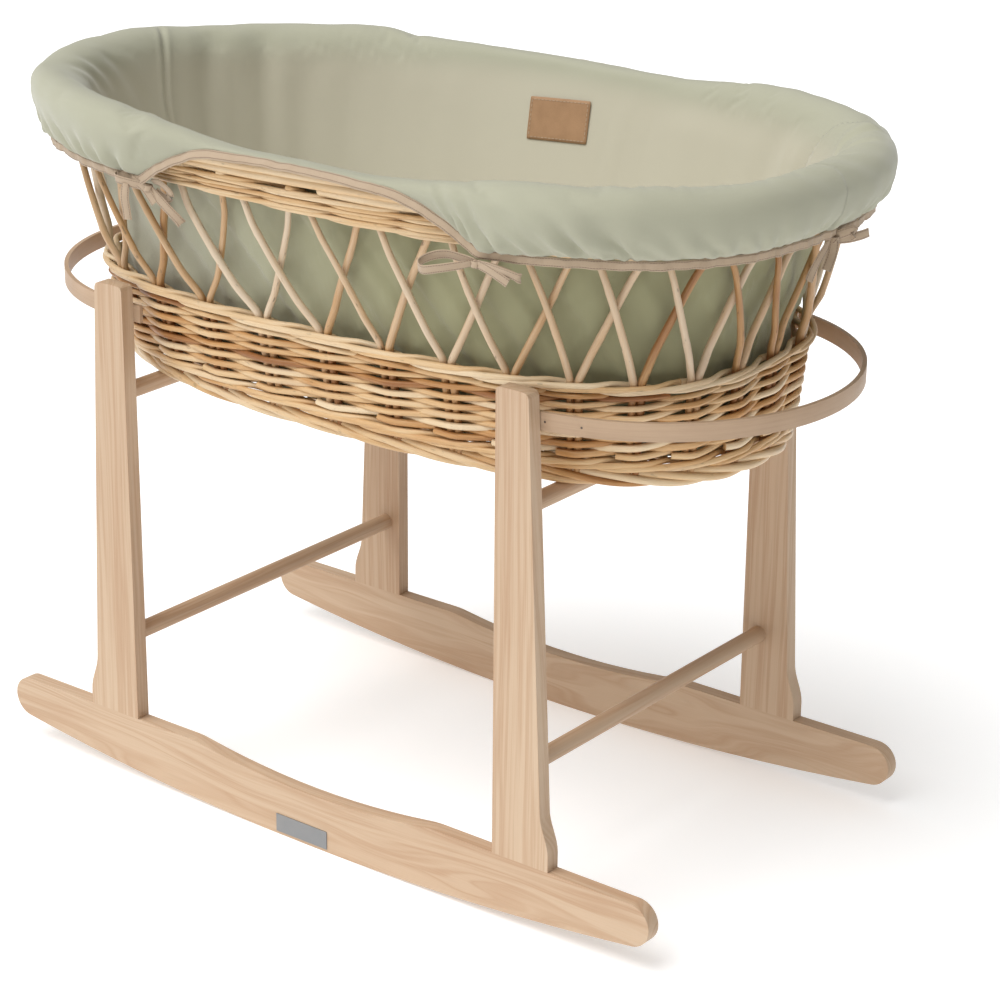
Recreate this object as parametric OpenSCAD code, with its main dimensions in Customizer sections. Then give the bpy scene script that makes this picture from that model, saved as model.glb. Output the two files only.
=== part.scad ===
// Willow bassinet with a padded liner, resting on a rocking timber stand.
// X runs along the rockers, the front is -Y, Z is up.
// The origin is on the floor, midway between the two rockers.

/* [Stand] */
// Overall length of each rocker
rocker_len = 944; // [860:2:1000]
// Overall depth of the stand, over the outer faces of the legs
stand_depth = 500; // [490:2:540]
// Thickness of the planed boards
board_t = 18; // [16:1:22]
// Radius of the rocker's running edge
rocker_r = 3400; // [2600:50:4200]
// Height of the rocker's top edge, where the legs stand
rocker_top = 79; // [74:1:90]
// Height of the rocker's top edge at mid-length
rocker_waist = 65; // [58:1:70]
// Radius of the shallow dip in the rocker's top edge
dip_r = 1100; // [900:20:1400]
// Distance from the middle to the straight inner edge of a leg
leg_in = 265; // [255:1:275]
// Width of a leg at its foot
foot_w = 75; // [60:1:90]
// Width of a leg just above its flared foot
ankle_w = 63.5; // [55:0.5:70]
// Width of a leg at its top
leg_top_w = 42; // [36:1:50]
// Height of the top of the legs
leg_top = 610; // [600:1:640]
// Diameter of the cross dowels
dowel_d = 20; // [16:1:22]
// Height of the lower dowels' centre line
lower_dowel_h = 177; // [130:1:240]
// Depth of a dowel's socket in a leg
socket_depth = 10; // [6:1:14]
// Diameter of the dowel pins that join the legs to the rockers
pin_d = 8; // [6:1:10]
// Length of the dowel pins that join the legs to the rockers
pin_len = 50; // [30:2:60]

/* [End hoops] */
// Height of the bent strip
hoop_h = 20; // [16:1:24]
// Thickness of the bent strip
hoop_t = 5; // [4:0.5:6]
// Height of the strip's centre line
hoop_z = 576; // [560:1:590]
// Distance from the middle to each end of the strip
hoop_start = 255; // [250:1:260]
// Diameter of the screws that hold a hoop
hoop_screw_d = 4; // [3:0.5:5]

/* [Basket] */
// Height of the underside of the foot border
foot_z = 487.3; // [486:0.1:492]
// Height of the top of the woven wall
wall_top = 612; // [600:1:620]
// Height of the underside of the rim weave
rim_z = 750; // [735:1:760]
// Height of the top of the rim
rim_top = 804; // [790:1:815]
// Half length of the basket at its foot
foot_a = 428; // [400:1:440]
// Half width of the basket at its foot
foot_b = 212; // [200:1:216]
// Half length of the basket at the top of the woven wall
wall_a = 434; // [420:1:450]
// Half width of the basket at the top of the woven wall
wall_b = 238; // [225:1:240]
// Half length of the basket at its rim
rim_a = 483; // [460:1:500]
// Half width of the basket at its rim
rim_b = 288; // [280:1:305]
// Thickness of the woven wall
weave_t = 16; // [12:1:18]
// Number of stake stations around the basket
stations = 30; // [28:1:32]
// Diameter of a stake
stake_d = 8.4; // [6:0.2:9]
// How far a stake leans around the basket, in stations
lean = 0.83; // [0.5:0.01:0.95]

/* [Soft goods] */
// Height of the cuffs' hem
hem_z = 757; // [750:1:765]
// How far a cuff stands out from the rim
cuff_out = 33; // [24:1:36]
// Height of the top of a cuff
cuff_top = 829; // [818:1:835]
// Half the spread of a handle notch at the hem, in degrees
notch_hem = 26; // [20:1:34]
// Half the spread of a handle notch at the rim, in degrees
notch_rim = 16; // [12:1:20]
// How far the liner sits turned around the basket, in degrees
liner_turn = 4; // [-6:1:6]
// Half length of the mattress
mat_a = 388; // [340:1:390]
// Half width of the mattress
mat_b = 176; // [150:1:178]
// Thickness of the mattress
mat_t = 45; // [25:1:60]
// Width of the sewn label
label_w = 86; // [60:1:110]
// Height of the sewn label
label_h = 50; // [35:1:60]
// How far the sewn label is turned, in degrees
label_tilt = 4; // [-6:1:6]

/* [Name plate] */
// Width of the blank plate on the front rocker
plate_w = 76; // [50:1:90]
// Height of the blank plate
plate_h = 22; // [16:1:24]
// Thickness of the blank plate
plate_t = 1; // [0.8:0.1:2]

/* [Hidden] */
$fn = 64;

pine = [0.84, 0.72, 0.60];
willow = [0.88, 0.75, 0.55];
sage = [0.70, 0.71, 0.61];
beige = [0.79, 0.70, 0.62];

inner_y = stand_depth / 2 - board_t;
leg_foot_out = leg_in + foot_w;
rail_x = leg_in + 22;
rail_z = foot_z - 0.3 - dowel_d / 2;
dowel_len = 2 * (inner_y + socket_depth);

// The tip is round and touches both the top edge and the running edge.
tip_k = 2 * (2 * rocker_r - rocker_top) - rocker_len;
tip_c = pow(rocker_len / 2, 2) - rocker_top * (2 * rocker_r - rocker_top);
tip_r = (-tip_k + sqrt(tip_k * tip_k - 4 * tip_c)) / 2;
tip_x = rocker_len / 2 - tip_r;

// A soft bump closes each end of the dip.
bump_r = 120;
bump_z = rocker_top - bump_r;
dip_z = rocker_waist + dip_r;
bump_x = sqrt(pow(dip_r + bump_r, 2) - pow(dip_z - bump_z, 2));
bump_cut_x = bump_x * dip_r / (dip_r + bump_r);

hoop_r = inner_y - hoop_t / 2;
hoop_straight = 280.5;
screw_x = [hoop_start + 17, hoop_start + 33];
nail_angle = [-82, -72];

label_x = -26;
label_z = 746;
bow_angle = [for (side = [0, 180]) for (a = [0, 89 - notch_hem, notch_hem - 89]) side + a + liner_turn];
sides = 96;
rope_r = 10;
stake_bite = 5;
stake_gap = 2;
hem_out = 13;
base_z = foot_z + 2 * rope_r + 1;
base_t = 10;
mat_z = base_z + base_t + 0.5;

// Half sizes and squareness of the basket's outline at a height
function half_x(h) = lookup(h, [[foot_z, foot_a], [wall_top, wall_a], [rim_top, rim_a], [900, rim_a + 20]]);
function half_y(h) = lookup(h, [[foot_z, foot_b], [wall_top, wall_b], [rim_top, rim_b], [900, rim_b + 20]]);
function squareness(h) = lookup(h, [[foot_z, 2.45], [wall_top, 2.95], [rim_top, 2.55]]);

// A point on the basket: t is the angle, d the distance outside the outline, h the height
function on_basket(t, d, h) =
    let (n = squareness(h), c = cos(t), s = sin(t))
    let (q = pow(pow(abs(c), n) + pow(abs(s), n), 1 / n))
    [(half_x(h) + d) * c / q, (half_y(h) + d) * s / q, h];

// Distance around the outline up to each degree, and the angle at a share of the whole way
function step_len(t, h) = norm(on_basket(t + 1, 0, h) - on_basket(t, 0, h));
function way(h, t = 0, sum = 0, out = [0]) =
    t == 360 ? out : way(h, t + 1, sum + step_len(t, h), concat(out, [sum + step_len(t, h)]));
wall_way = way(wall_top);
rim_way = way(rim_z);
function angle_at(table, share) =
    let (part = share - floor(share))
    lookup(part * table[360], [for (t = [0:360]) [table[t], t]]) + 360 * floor(share);

// Share of the way around at a station: the stations stand closer together in places
function station_share(k) = (k + 0.42 * sin(720 * k / stations - 148)) / stations;

// A closed ring with the given cross-section of [distance outside the outline, height] points
module ring(section) {
    m = len(section);
    points = [for (i = [0:sides - 1]) for (p = section) on_basket(360 * i / sides, p[0], p[1])];
    faces = [
        for (i = [0:sides - 1]) for (j = [0:m - 1])
        let (i2 = (i + 1) % sides, j2 = (j + 1) % m)
        for (f = [[i * m + j, i2 * m + j, i2 * m + j2], [i * m + j, i2 * m + j2, i * m + j2]]) f
    ];
    polyhedron(points, faces);
}

// A length of the same ring about a middle angle, its half spread changing from the hem to the rim.
// The cap lists the triangles that close each end.
module arc_band(section, cap, middle, spread_hem, spread_rim, steps) {
    m = len(section);
    points = [
        for (i = [0:steps]) for (p = section)
            let (share = min(1, max(0, (p[1] - hem_z) / (rim_top - hem_z))))
            on_basket(middle + (spread_hem + (spread_rim - spread_hem) * share) * (2 * i / steps - 1), p[0], p[1])
    ];
    faces = concat(
        cap,
        [
            for (i = [0:steps - 1]) for (j = [0:m - 1])
            let (j2 = (j + 1) % m)
            for (f = [
                [i * m + j, (i + 1) * m + j, (i + 1) * m + j2],
                [i * m + j, (i + 1) * m + j2, i * m + j2]
            ]) f
        ],
        [for (f = cap) [for (j = [2:-1:0]) steps * m + f[j]]]
    );
    polyhedron(points, faces);
}

// A flat plate with the basket's outline at a height, drawn in by a distance
module outline_plate(h, inset, z0, t) {
    translate([0, 0, z0])
        linear_extrude(t)
            polygon([for (i = [0:sides - 1]) let (p = on_basket(360 * i / sides, -inset, h)) [p[0], p[1]]]);
}

module y_cylinder(r, y0, y1) {
    translate([0, y0, 0])
        rotate([-90, 0, 0])
            cylinder(h = y1 - y0, r = r);
}

// One rocker, its outer face on y = 0 and its inner face on y = board_t
module rocker_board() {
    difference() {
        union() {
            difference() {
                intersection() {
                    translate([-tip_x, 0, 0])
                        cube([2 * tip_x, board_t, rocker_top]);
                    translate([0, 0, rocker_r])
                        y_cylinder(rocker_r, 0, board_t, $fn = 1440);
                }
                translate([0, 0, dip_z])
                    y_cylinder(dip_r, -1, board_t + 1, $fn = 720);
                for (s = [-1, 1])
                    translate([s > 0 ? bump_cut_x : -bump_x, -1, rocker_top - 8])
                        cube([bump_x - bump_cut_x, board_t + 2, 10]);
            }
            for (s = [-1, 1])
                intersection() {
                    translate([s * bump_x, 0, bump_z])
                        y_cylinder(bump_r, 0, board_t, $fn = 360);
                    translate([s > 0 ? bump_cut_x : -bump_x, 0, rocker_top - 8.1])
                        cube([bump_x - bump_cut_x, board_t, 10]);
                }
            for (s = [-1, 1])
                translate([s * tip_x, 0, rocker_top - tip_r])
                    y_cylinder(tip_r, 0, board_t);
        }
        pin_bores();
    }
}

// Places of the pins between a leg and its rocker
module pin_bores() {
    for (s = [-1, 1])
        for (x = [leg_in + 20, leg_in + foot_w - 20])
            translate([s * x, board_t / 2, rocker_top - pin_len / 2])
                cylinder(h = pin_len, d = pin_d);
}

// A right-hand leg, its outer face on y = 0
module leg_board() {
    difference() {
        intersection() {
            translate([0, board_t, 0])
                rotate([90, 0, 0])
                    linear_extrude(board_t)
                        leg_outline();
            translate([leg_in + leg_top_w / 2, 0, leg_top - 340])
                y_cylinder(340, 0, board_t, $fn = 720);
        }
        pin_bores();
        for (p = [[rail_x, lower_dowel_h], [rail_x, rail_z]])
            translate([p[0], 0, p[1]])
                y_cylinder(dowel_d / 2, board_t - socket_depth, board_t + 1);
        for (x = screw_x)
            translate([x, 0, hoop_z])
                y_cylinder(hoop_screw_d / 2, board_t - 11, board_t + 1, $fn = 24);
    }
}

// Straight inner edge, tapered outer edge and a short flared foot
module leg_outline() {
    flare_z = rocker_top + 18;
    ankle_z = rocker_top + 66;
    drop = foot_w - ankle_w;
    polygon(concat(
        [[leg_in, rocker_top], [leg_foot_out, rocker_top]],
        [for (k = [0:8]) let (u = k / 8, w = (1 - cos(180 * u)) / 2)
            [leg_foot_out - drop * w, flare_z + (ankle_z - flare_z) * u]],
        [[leg_in + leg_top_w, leg_top - 6], [leg_in + leg_top_w - 2, leg_top - 2],
         [leg_in + leg_top_w - 6, leg_top], [leg_in + 5, leg_top], [leg_in + 1.5, leg_top - 1.5],
         [leg_in, leg_top - 5]]
    ));
}

module cross_dowel(x, z) {
    color(pine)
        translate([x, 0, z])
            y_cylinder(dowel_d / 2, -dowel_len / 2, dowel_len / 2);
}

// The right-hand hoop: a half round with a short straight run against each leg
module hoop_strip() {
    difference() {
        translate([0, 0, hoop_z - hoop_h / 2])
            union() {
                intersection() {
                    translate([hoop_straight, 0, 0])
                        difference() {
                            cylinder(h = hoop_h, r = hoop_r + hoop_t / 2, $fn = 256);
                            translate([0, 0, -1])
                                cylinder(h = hoop_h + 2, r = hoop_r - hoop_t / 2, $fn = 256);
                        }
                    translate([hoop_straight, -stand_depth / 2, 0])
                        cube([stand_depth, stand_depth, hoop_h]);
                }
                for (s = [-1, 1])
                    translate([hoop_start, s > 0 ? hoop_r - hoop_t / 2 : -hoop_r - hoop_t / 2, 0])
                        cube([hoop_straight - hoop_start, hoop_t, hoop_h]);
            }
        screw_shanks();
        screw_mouths();
        nail_shanks(0);
    }
}

// Both screw places at each end of the right-hand hoop, pointing into the leg
module at_screws() {
    for (s = [-1, 1])
        for (x = screw_x)
            translate([x, s * (inner_y - hoop_t), hoop_z])
                rotate([-90 * s, 0, 0])
                    children();
}

// Countersunk screws through the ends of the right-hand hoop into the legs
module screw_shanks() {
    at_screws() {
        cylinder(h = hoop_t + 10, d = hoop_screw_d, $fn = 24);
        cylinder(h = 2, d1 = 2 * hoop_screw_d, d2 = hoop_screw_d, $fn = 24);
    }
}

// Clears the surface in front of each screw head
module screw_mouths() {
    at_screws()
        translate([0, 0, -1])
            cylinder(h = 1, d = 2 * hoop_screw_d, $fn = 24);
}

// Fine nails through the lapped joint in the front of the right-hand hoop
module nail_shanks(proud) {
    for (a = nail_angle)
        translate([hoop_straight, 0, hoop_z])
            rotate([0, 0, a])
                translate([hoop_r - hoop_t / 2, 0, 0])
                    rotate([0, 90, 0])
                        cylinder(h = hoop_t + proud, d = 2.4, $fn = 20);
}

// Both ends of the stand: the second is the first turned half way round
module both_ends() {
    children();
    rotate([0, 0, 180])
        children();
}

module front_side() {
    translate([0, -stand_depth / 2, 0])
        children();
}

module rear_side() {
    mirror([0, 1, 0])
        front_side()
            children();
}

module rocker_front() {
    color(pine)
        front_side()
            rocker_board();
}

module rocker_rear() {
    color(pine)
        rear_side()
            rocker_board();
}

module leg_front_right() {
    color(pine)
        front_side()
            leg_board();
}

module leg_front_left() {
    color(pine)
        mirror([1, 0, 0])
            front_side()
                leg_board();
}

module leg_rear_right() {
    color(pine)
        rear_side()
            leg_board();
}

module leg_rear_left() {
    color(pine)
        mirror([1, 0, 0])
            rear_side()
                leg_board();
}

module lower_dowel_left() {
    cross_dowel(-rail_x, lower_dowel_h);
}

module lower_dowel_right() {
    cross_dowel(rail_x, lower_dowel_h);
}

module support_rail_left() {
    cross_dowel(-rail_x, rail_z);
}

module support_rail_right() {
    cross_dowel(rail_x, rail_z);
}

module leg_pins() {
    color(pine) {
        front_side()
            pin_bores();
        rear_side()
            pin_bores();
    }
}

module hoop_right() {
    color(beige)
        hoop_strip();
}

module hoop_left() {
    color(beige)
        rotate([0, 0, 180])
            hoop_strip();
}

module hoop_screws() {
    color("silver")
        both_ends()
            screw_shanks();
}

module hoop_nails() {
    color("gray")
        both_ends()
            nail_shanks(0.2);
}

module name_plate() {
    color("silver")
        translate([-plate_w / 2 - 9, -stand_depth / 2 - plate_t, 4])
            cube([plate_w, plate_t, plate_h]);
}

module basket_base() {
    color(willow)
        outline_plate(base_z, weave_t + 0.5, base_z, base_t);
}

module foot_border() {
    color(willow)
        ring([for (k = [0:9]) [rope_r * cos(36 * k) - rope_r, foot_z + rope_r + rope_r * sin(36 * k)]]);
}

module woven_wall() {
    low = foot_z + 2 * rope_r + 0.2;
    high = wall_top - 14;
    color(willow)
        ring([[0, low], [0, (low + high) / 2], [0, high], [-weave_t, high],
              [-weave_t, (low + high) / 2], [-weave_t, low]]);
}

module wall_wale() {
    low = wall_top - 14;
    color(willow)
        ring([[0, low], [3, low + 3.5], [1, low + 7], [3, low + 10.5], [0, wall_top],
              [-weave_t, wall_top], [-weave_t - 3, low + 7], [-weave_t, low]]);
}

// Straight stakes from the wall to the rim, leaning one way (1) or the other (-1)
module stakes(side, way_round) {
    for (k = [0:stations - 1])
        stake_between(
            on_basket(angle_at(wall_way, station_share(k + 0.5)), side, wall_top - stake_bite),
            on_basket(angle_at(rim_way, station_share(k + 0.5 + way_round * lean)), side, rim_z + stake_bite)
        );
}

module stake_between(p, q) {
    v = q - p;
    translate(p)
        rotate([0, acos(v[2] / norm(v)), atan2(v[1], v[0])])
            cylinder(h = norm(v), d = stake_d, $fn = 16);
}

module outer_stakes() {
    color(willow)
        stakes(stake_gap / 2 + stake_d / 2 - weave_t / 2, -1);
}

module inner_stakes() {
    color(willow)
        stakes(-stake_gap / 2 - stake_d / 2 - weave_t / 2, 1);
}

module rim_weave() {
    high = rim_top - 26;
    color(willow)
        ring([[0, rim_z], [1, (rim_z + high) / 2], [0, high], [-weave_t, high],
              [-weave_t - 1, (rim_z + high) / 2], [-weave_t, rim_z]]);
}

module rim_border() {
    low = rim_top - 26;
    color(willow)
        ring([[0, low], [2, low + 6], [2, rim_top - 6], [-2, rim_top], [-weave_t + 2, rim_top],
              [-weave_t - 2, rim_top - 6], [-weave_t - 2, low + 6], [-weave_t, low]]);
}

module liner_wall() {
    low = base_z + base_t + 0.5;
    color(sage)
        ring([[-19.5, low], [-19.5, wall_top], [-19.5, cuff_top - 41], [-23.5, cuff_top - 41],
              [-23.5, wall_top], [-23.5, low]]);
}

// Section of a padded cuff: down inside the rim, over it, and out to the hem
function cuff_section() = [
    [hem_out, hem_z], [0.55 * cuff_out + 7, hem_z + 13], [cuff_out - 1, hem_z + 30], [cuff_out, hem_z + 46],
    [cuff_out - 5, hem_z + 60], [cuff_out - 16, cuff_top - 3], [3, cuff_top], [-11, cuff_top - 3],
    [-22, cuff_top - 13], [-27, cuff_top - 26], [-27, cuff_top - 40], [-19, cuff_top - 40],
    [-19, rim_top + 1], [5, rim_top + 1], [5, hem_z]
];

// The inner corners of the section are 11 to 14: the end is closed in fans about them.
cuff_cap = concat(
    [for (j = [0:2]) [14, j, j + 1]], [[14, 3, 13]],
    [for (j = [3:5]) [13, j, j + 1]], [[13, 6, 12]],
    [for (j = [6:8]) [12, j, j + 1]], [[12, 9, 11], [11, 9, 10]]
);

module cuff(middle) {
    color(sage)
        arc_band(cuff_section(), cuff_cap, middle + liner_turn, 90 - notch_hem, 90 - notch_rim, 44);
}

module liner_cuff_head() {
    cuff(180);
}

module liner_cuff_foot() {
    cuff(0);
}

// A flat bias strip along the cuff's hem
module hem_binding(middle) {
    section = [[5, hem_z - 8], [hem_out, hem_z - 8], [hem_out, hem_z], [5, hem_z]];
    color(beige)
        arc_band(section, [[0, 1, 2], [0, 2, 3]], middle + liner_turn, 90 - notch_hem, 90 - notch_hem, 44);
}

module hem_binding_head() {
    hem_binding(180);
}

module hem_binding_foot() {
    hem_binding(0);
}

// A bias strip over the rim along a handle notch
module notch_binding(middle) {
    section = [
        [-23.5, cuff_top - 39.8], [-19, cuff_top - 39.8], [-19, rim_top + 1], [1, rim_top + 1],
        [1, rim_top + 3], [-23.5, rim_top + 3]
    ];
    color(beige)
        arc_band(section, [[0, 1, 2], [0, 2, 5], [2, 3, 4], [2, 4, 5]], middle + liner_turn, notch_rim, notch_rim - 0.3, 18);
}

module notch_binding_front() {
    notch_binding(270);
}

module notch_binding_rear() {
    notch_binding(90);
}

module tie_bows() {
    color(beige)
        for (a = bow_angle)
            let (p = on_basket(a, 10, hem_z - 17), q = on_basket(a + 1, 10, hem_z - 17))
            translate(p)
                rotate([0, 0, atan2(q[1] - p[1], q[0] - p[0])])
                    translate([-24, -4, -8])
                        cube([48, 6, 16]);
}

module liner_label() {
    p = on_basket(90, -23.5, label_z);
    slope = atan((rim_b - wall_b) / (rim_top - wall_top));
    color("peru")
        translate([label_x, p[1] - 2.6, label_z])
            rotate([-slope, -label_tilt, 0])
                translate([-label_w / 2, -0.6, -label_h / 2])
                    cube([label_w, 1.2, label_h]);
}

module mattress() {
    soft = 8;
    corner = [for (k = [0:3]) [soft * (1 - sin(30 * k)), soft * (1 - cos(30 * k))]];
    layers = concat(
        [for (c = corner) [c[0], mat_z + c[1]]],
        [for (k = [3:-1:0]) [corner[k][0], mat_z + mat_t - corner[k][1]]]
    );
    m = len(layers);
    points = [for (c = layers) for (i = [0:sides - 1]) mattress_point(360 * i / sides, c[0], c[1])];
    faces = concat(
        [[for (i = [0:sides - 1]) i]],
        [
            for (j = [0:m - 2]) for (i = [0:sides - 1])
            let (i2 = (i + 1) % sides, a = j * sides, b = a + sides)
            for (f = [[a + i, b + i, b + i2], [a + i, b + i2, a + i2]]) f
        ],
        [[for (i = [sides - 1:-1:0]) (m - 1) * sides + i]]
    );
    color("ivory")
        polyhedron(points, faces);
}

function mattress_point(t, inset, z) =
    let (q = pow(pow(abs(cos(t)), 2.6) + pow(abs(sin(t)), 2.6), 1 / 2.6))
    [(mat_a - inset) * cos(t) / q, (mat_b - inset) * sin(t) / q, z];

rocker_front();
rocker_rear();
leg_front_left();
leg_front_right();
leg_rear_left();
leg_rear_right();
lower_dowel_left();
lower_dowel_right();
support_rail_left();
support_rail_right();
leg_pins();
hoop_left();
hoop_right();
hoop_screws();
hoop_nails();
name_plate();
basket_base();
foot_border();
woven_wall();
wall_wale();
outer_stakes();
inner_stakes();
rim_weave();
rim_border();
liner_wall();
liner_cuff_head();
liner_cuff_foot();
hem_binding_head();
hem_binding_foot();
notch_binding_front();
notch_binding_rear();
tie_bows();
liner_label();
mattress();
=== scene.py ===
"""The looks of a willow bassinet on a rocking stand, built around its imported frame."""
import math

import bpy
import numpy as np
from mathutils import Matrix, Vector


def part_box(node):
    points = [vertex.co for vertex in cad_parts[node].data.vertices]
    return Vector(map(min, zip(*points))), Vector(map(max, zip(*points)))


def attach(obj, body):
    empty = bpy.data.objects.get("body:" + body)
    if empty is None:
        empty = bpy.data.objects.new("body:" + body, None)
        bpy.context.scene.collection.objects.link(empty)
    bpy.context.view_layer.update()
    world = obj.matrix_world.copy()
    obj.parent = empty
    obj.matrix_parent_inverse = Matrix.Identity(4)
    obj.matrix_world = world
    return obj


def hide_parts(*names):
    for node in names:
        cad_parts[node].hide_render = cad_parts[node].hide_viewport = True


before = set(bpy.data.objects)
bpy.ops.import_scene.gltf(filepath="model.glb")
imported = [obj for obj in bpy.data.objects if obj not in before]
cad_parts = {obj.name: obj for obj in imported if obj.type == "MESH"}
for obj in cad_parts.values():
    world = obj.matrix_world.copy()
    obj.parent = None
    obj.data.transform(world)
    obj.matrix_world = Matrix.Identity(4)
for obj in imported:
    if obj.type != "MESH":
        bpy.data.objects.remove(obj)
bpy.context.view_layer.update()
MM = 0.001
RANDOM = np.random.RandomState(11)

# ---- levels and outline of the basket

# Heights come from the CAD nodes' boxes, in metres.
FOOT_LO, FOOT_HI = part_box("foot_border")
WALE_LO, WALE_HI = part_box("wall_wale")
BORDER_LO, BORDER_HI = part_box("rim_border")
BASE_LO, BASE_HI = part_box("basket_base")
FOOT_Z = FOOT_LO.z
WALL_LOW = FOOT_HI.z
WALL_TOP = WALE_HI.z
RIM_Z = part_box("rim_weave")[0].z
BORDER_Z = BORDER_LO.z
RIM_TOP = BORDER_HI.z
HEM_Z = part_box("liner_cuff_head")[0].z
LINER_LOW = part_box("liner_wall")[0].z

# The outline at four heights: half its length, half its depth, and the power of its superellipse.
WALE_PROUD = 2.8 * MM
LEVELS = [FOOT_Z, WALL_TOP, RIM_TOP, 0.9]
HALF_X = [FOOT_HI.x, WALE_HI.x - WALE_PROUD, BORDER_HI.x, BORDER_HI.x + 20 * MM]
HALF_Y = [FOOT_HI.y, WALE_HI.y - WALE_PROUD, BORDER_HI.y, BORDER_HI.y + 20 * MM]
SQUARENESS = [2.45, 2.95, 2.55, 2.55]
DEGREES = np.arange(361)
# The stakes: places round the basket, radius, and how many places each leans over in the lattice.
STATIONS = 30
STAKE_R = 4.2 * MM
STAKE_LEAN = 0.83
# The middle of the weave, outward of the outline.
MID_D = -8 * MM
# The liner sits turned a little on the basket. Each handle notch is this many degrees from its middle
# to the end of its straight edge, and to the start of the hem.
LINER_TURN = 4.0
NOTCH_RIM = 13.0
NOTCH_HEM = 26.0


def superellipse(angles, power):
    """The cosines and sines of the angles, and what divides both to square the circle by power."""
    c, s = np.cos(angles), np.sin(angles)
    return c, s, (np.abs(c) ** power + np.abs(s) ** power) ** (1 / power)


def on_basket(t, d, z):
    """Points at the angle t in degrees, a distance d outside the outline and the height z."""
    t, d, z = np.broadcast_arrays(np.asarray(t, float), np.asarray(d, float), np.asarray(z, float))
    c, s, q = superellipse(np.radians(t), np.interp(z, LEVELS, SQUARENESS))
    x = (np.interp(z, LEVELS, HALF_X) + d) * c / q
    y = (np.interp(z, LEVELS, HALF_Y) + d) * s / q
    return np.stack([x, y, z], axis=-1)


def way_round(z):
    """The distance round the outline up to each whole degree."""
    steps = np.linalg.norm(np.diff(on_basket(DEGREES, 0, z), axis=0), axis=1)
    return np.concatenate([[0], np.cumsum(steps)])


WALL_WAY = way_round(WALL_TOP)
RIM_WAY = way_round(RIM_Z)
CREST_WAY = way_round(RIM_TOP)


def station_angle(s, z):
    """The angle of station s at the height z, counted round the basket from the foot end."""
    s, z = np.broadcast_arrays(np.asarray(s, float), np.asarray(z, float))
    # The stations stand closer together twice round the basket.
    crowding, crowded_from = 0.42, 148
    share = (s + crowding * np.sin(np.radians(720 * s / STATIONS - crowded_from))) / STATIONS
    turns = np.floor(share)
    low = np.interp((share - turns) * WALL_WAY[-1], WALL_WAY, DEGREES)
    high = np.interp((share - turns) * RIM_WAY[-1], RIM_WAY, DEGREES)
    k = np.clip((z - WALL_TOP) / (RIM_Z - WALL_TOP), 0, 1)
    return low + (high - low) * k + 360 * turns


def ring_point(s, d, z):
    """Points at the station s, a distance d outside the outline and the height z."""
    return on_basket(station_angle(s, z), d, z)


def smooth(x, low, high):
    """0 below low, 1 above high, and an even ease between them."""
    k = np.clip((np.asarray(x, float) - low) / (high - low), 0, 1)
    return k * k * (3 - 2 * k)


def between(x, rise, full, fall, gone):
    """0 below rise, 1 from full to fall, and 0 again above gone."""
    return smooth(x, rise, full) * (1 - smooth(x, fall, gone))


def hump(x, width, power=2):
    """1 where x is 0 and fading over about width each way; a higher power makes the top flatter."""
    return np.exp(-((x / width) ** power))


def wander(x, size, seed, waves=5, low=0.3, high=2.0):
    """A smooth random curve through x, made of a few sines."""
    dice = np.random.RandomState(seed)
    total = np.zeros_like(np.asarray(x, float))
    for _ in range(waves):
        total += np.sin(dice.uniform(low, high) * np.asarray(x) + dice.uniform(0, 2 * math.pi))
    return size * total / math.sqrt(waves)


# ---- mesh building


def add_object(name, points, faces, body, material, attributes=None):
    """A smooth-shaded mesh object that rides on a body."""
    mesh = bpy.data.meshes.new(name)
    mesh.from_pydata([tuple(p) for p in points], [], [tuple(f) for f in faces])
    mesh.shade_smooth()
    for key, values in (attributes or {}).items():
        values = np.asarray(values, np.float32)
        kind, field = ("FLOAT_VECTOR", "vector") if values.ndim == 2 else ("FLOAT", "value")
        mesh.attributes.new(key, kind, "POINT").data.foreach_set(field, values.ravel())
    obj = bpy.data.objects.new(name, mesh)
    bpy.context.scene.collection.objects.link(obj)
    mesh.materials.append(material)
    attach(obj, body)
    return obj


def unit(v):
    """The vectors at length 1."""
    return v / np.maximum(np.linalg.norm(v, axis=-1, keepdims=True), 1e-12)


def grid_faces(rows, columns, rows_close=False, columns_close=False):
    """The faces of a grid of points, counted row by row; either way round may close on itself."""
    i, j = np.indices((rows - (not rows_close), columns - (not columns_close)))
    i2, j2 = (i + 1) % rows, (j + 1) % columns
    corners = [i * columns + j, i * columns + j2, i2 * columns + j2, i2 * columns + j]
    return np.stack(corners, -1).reshape(-1, 4)


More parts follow.
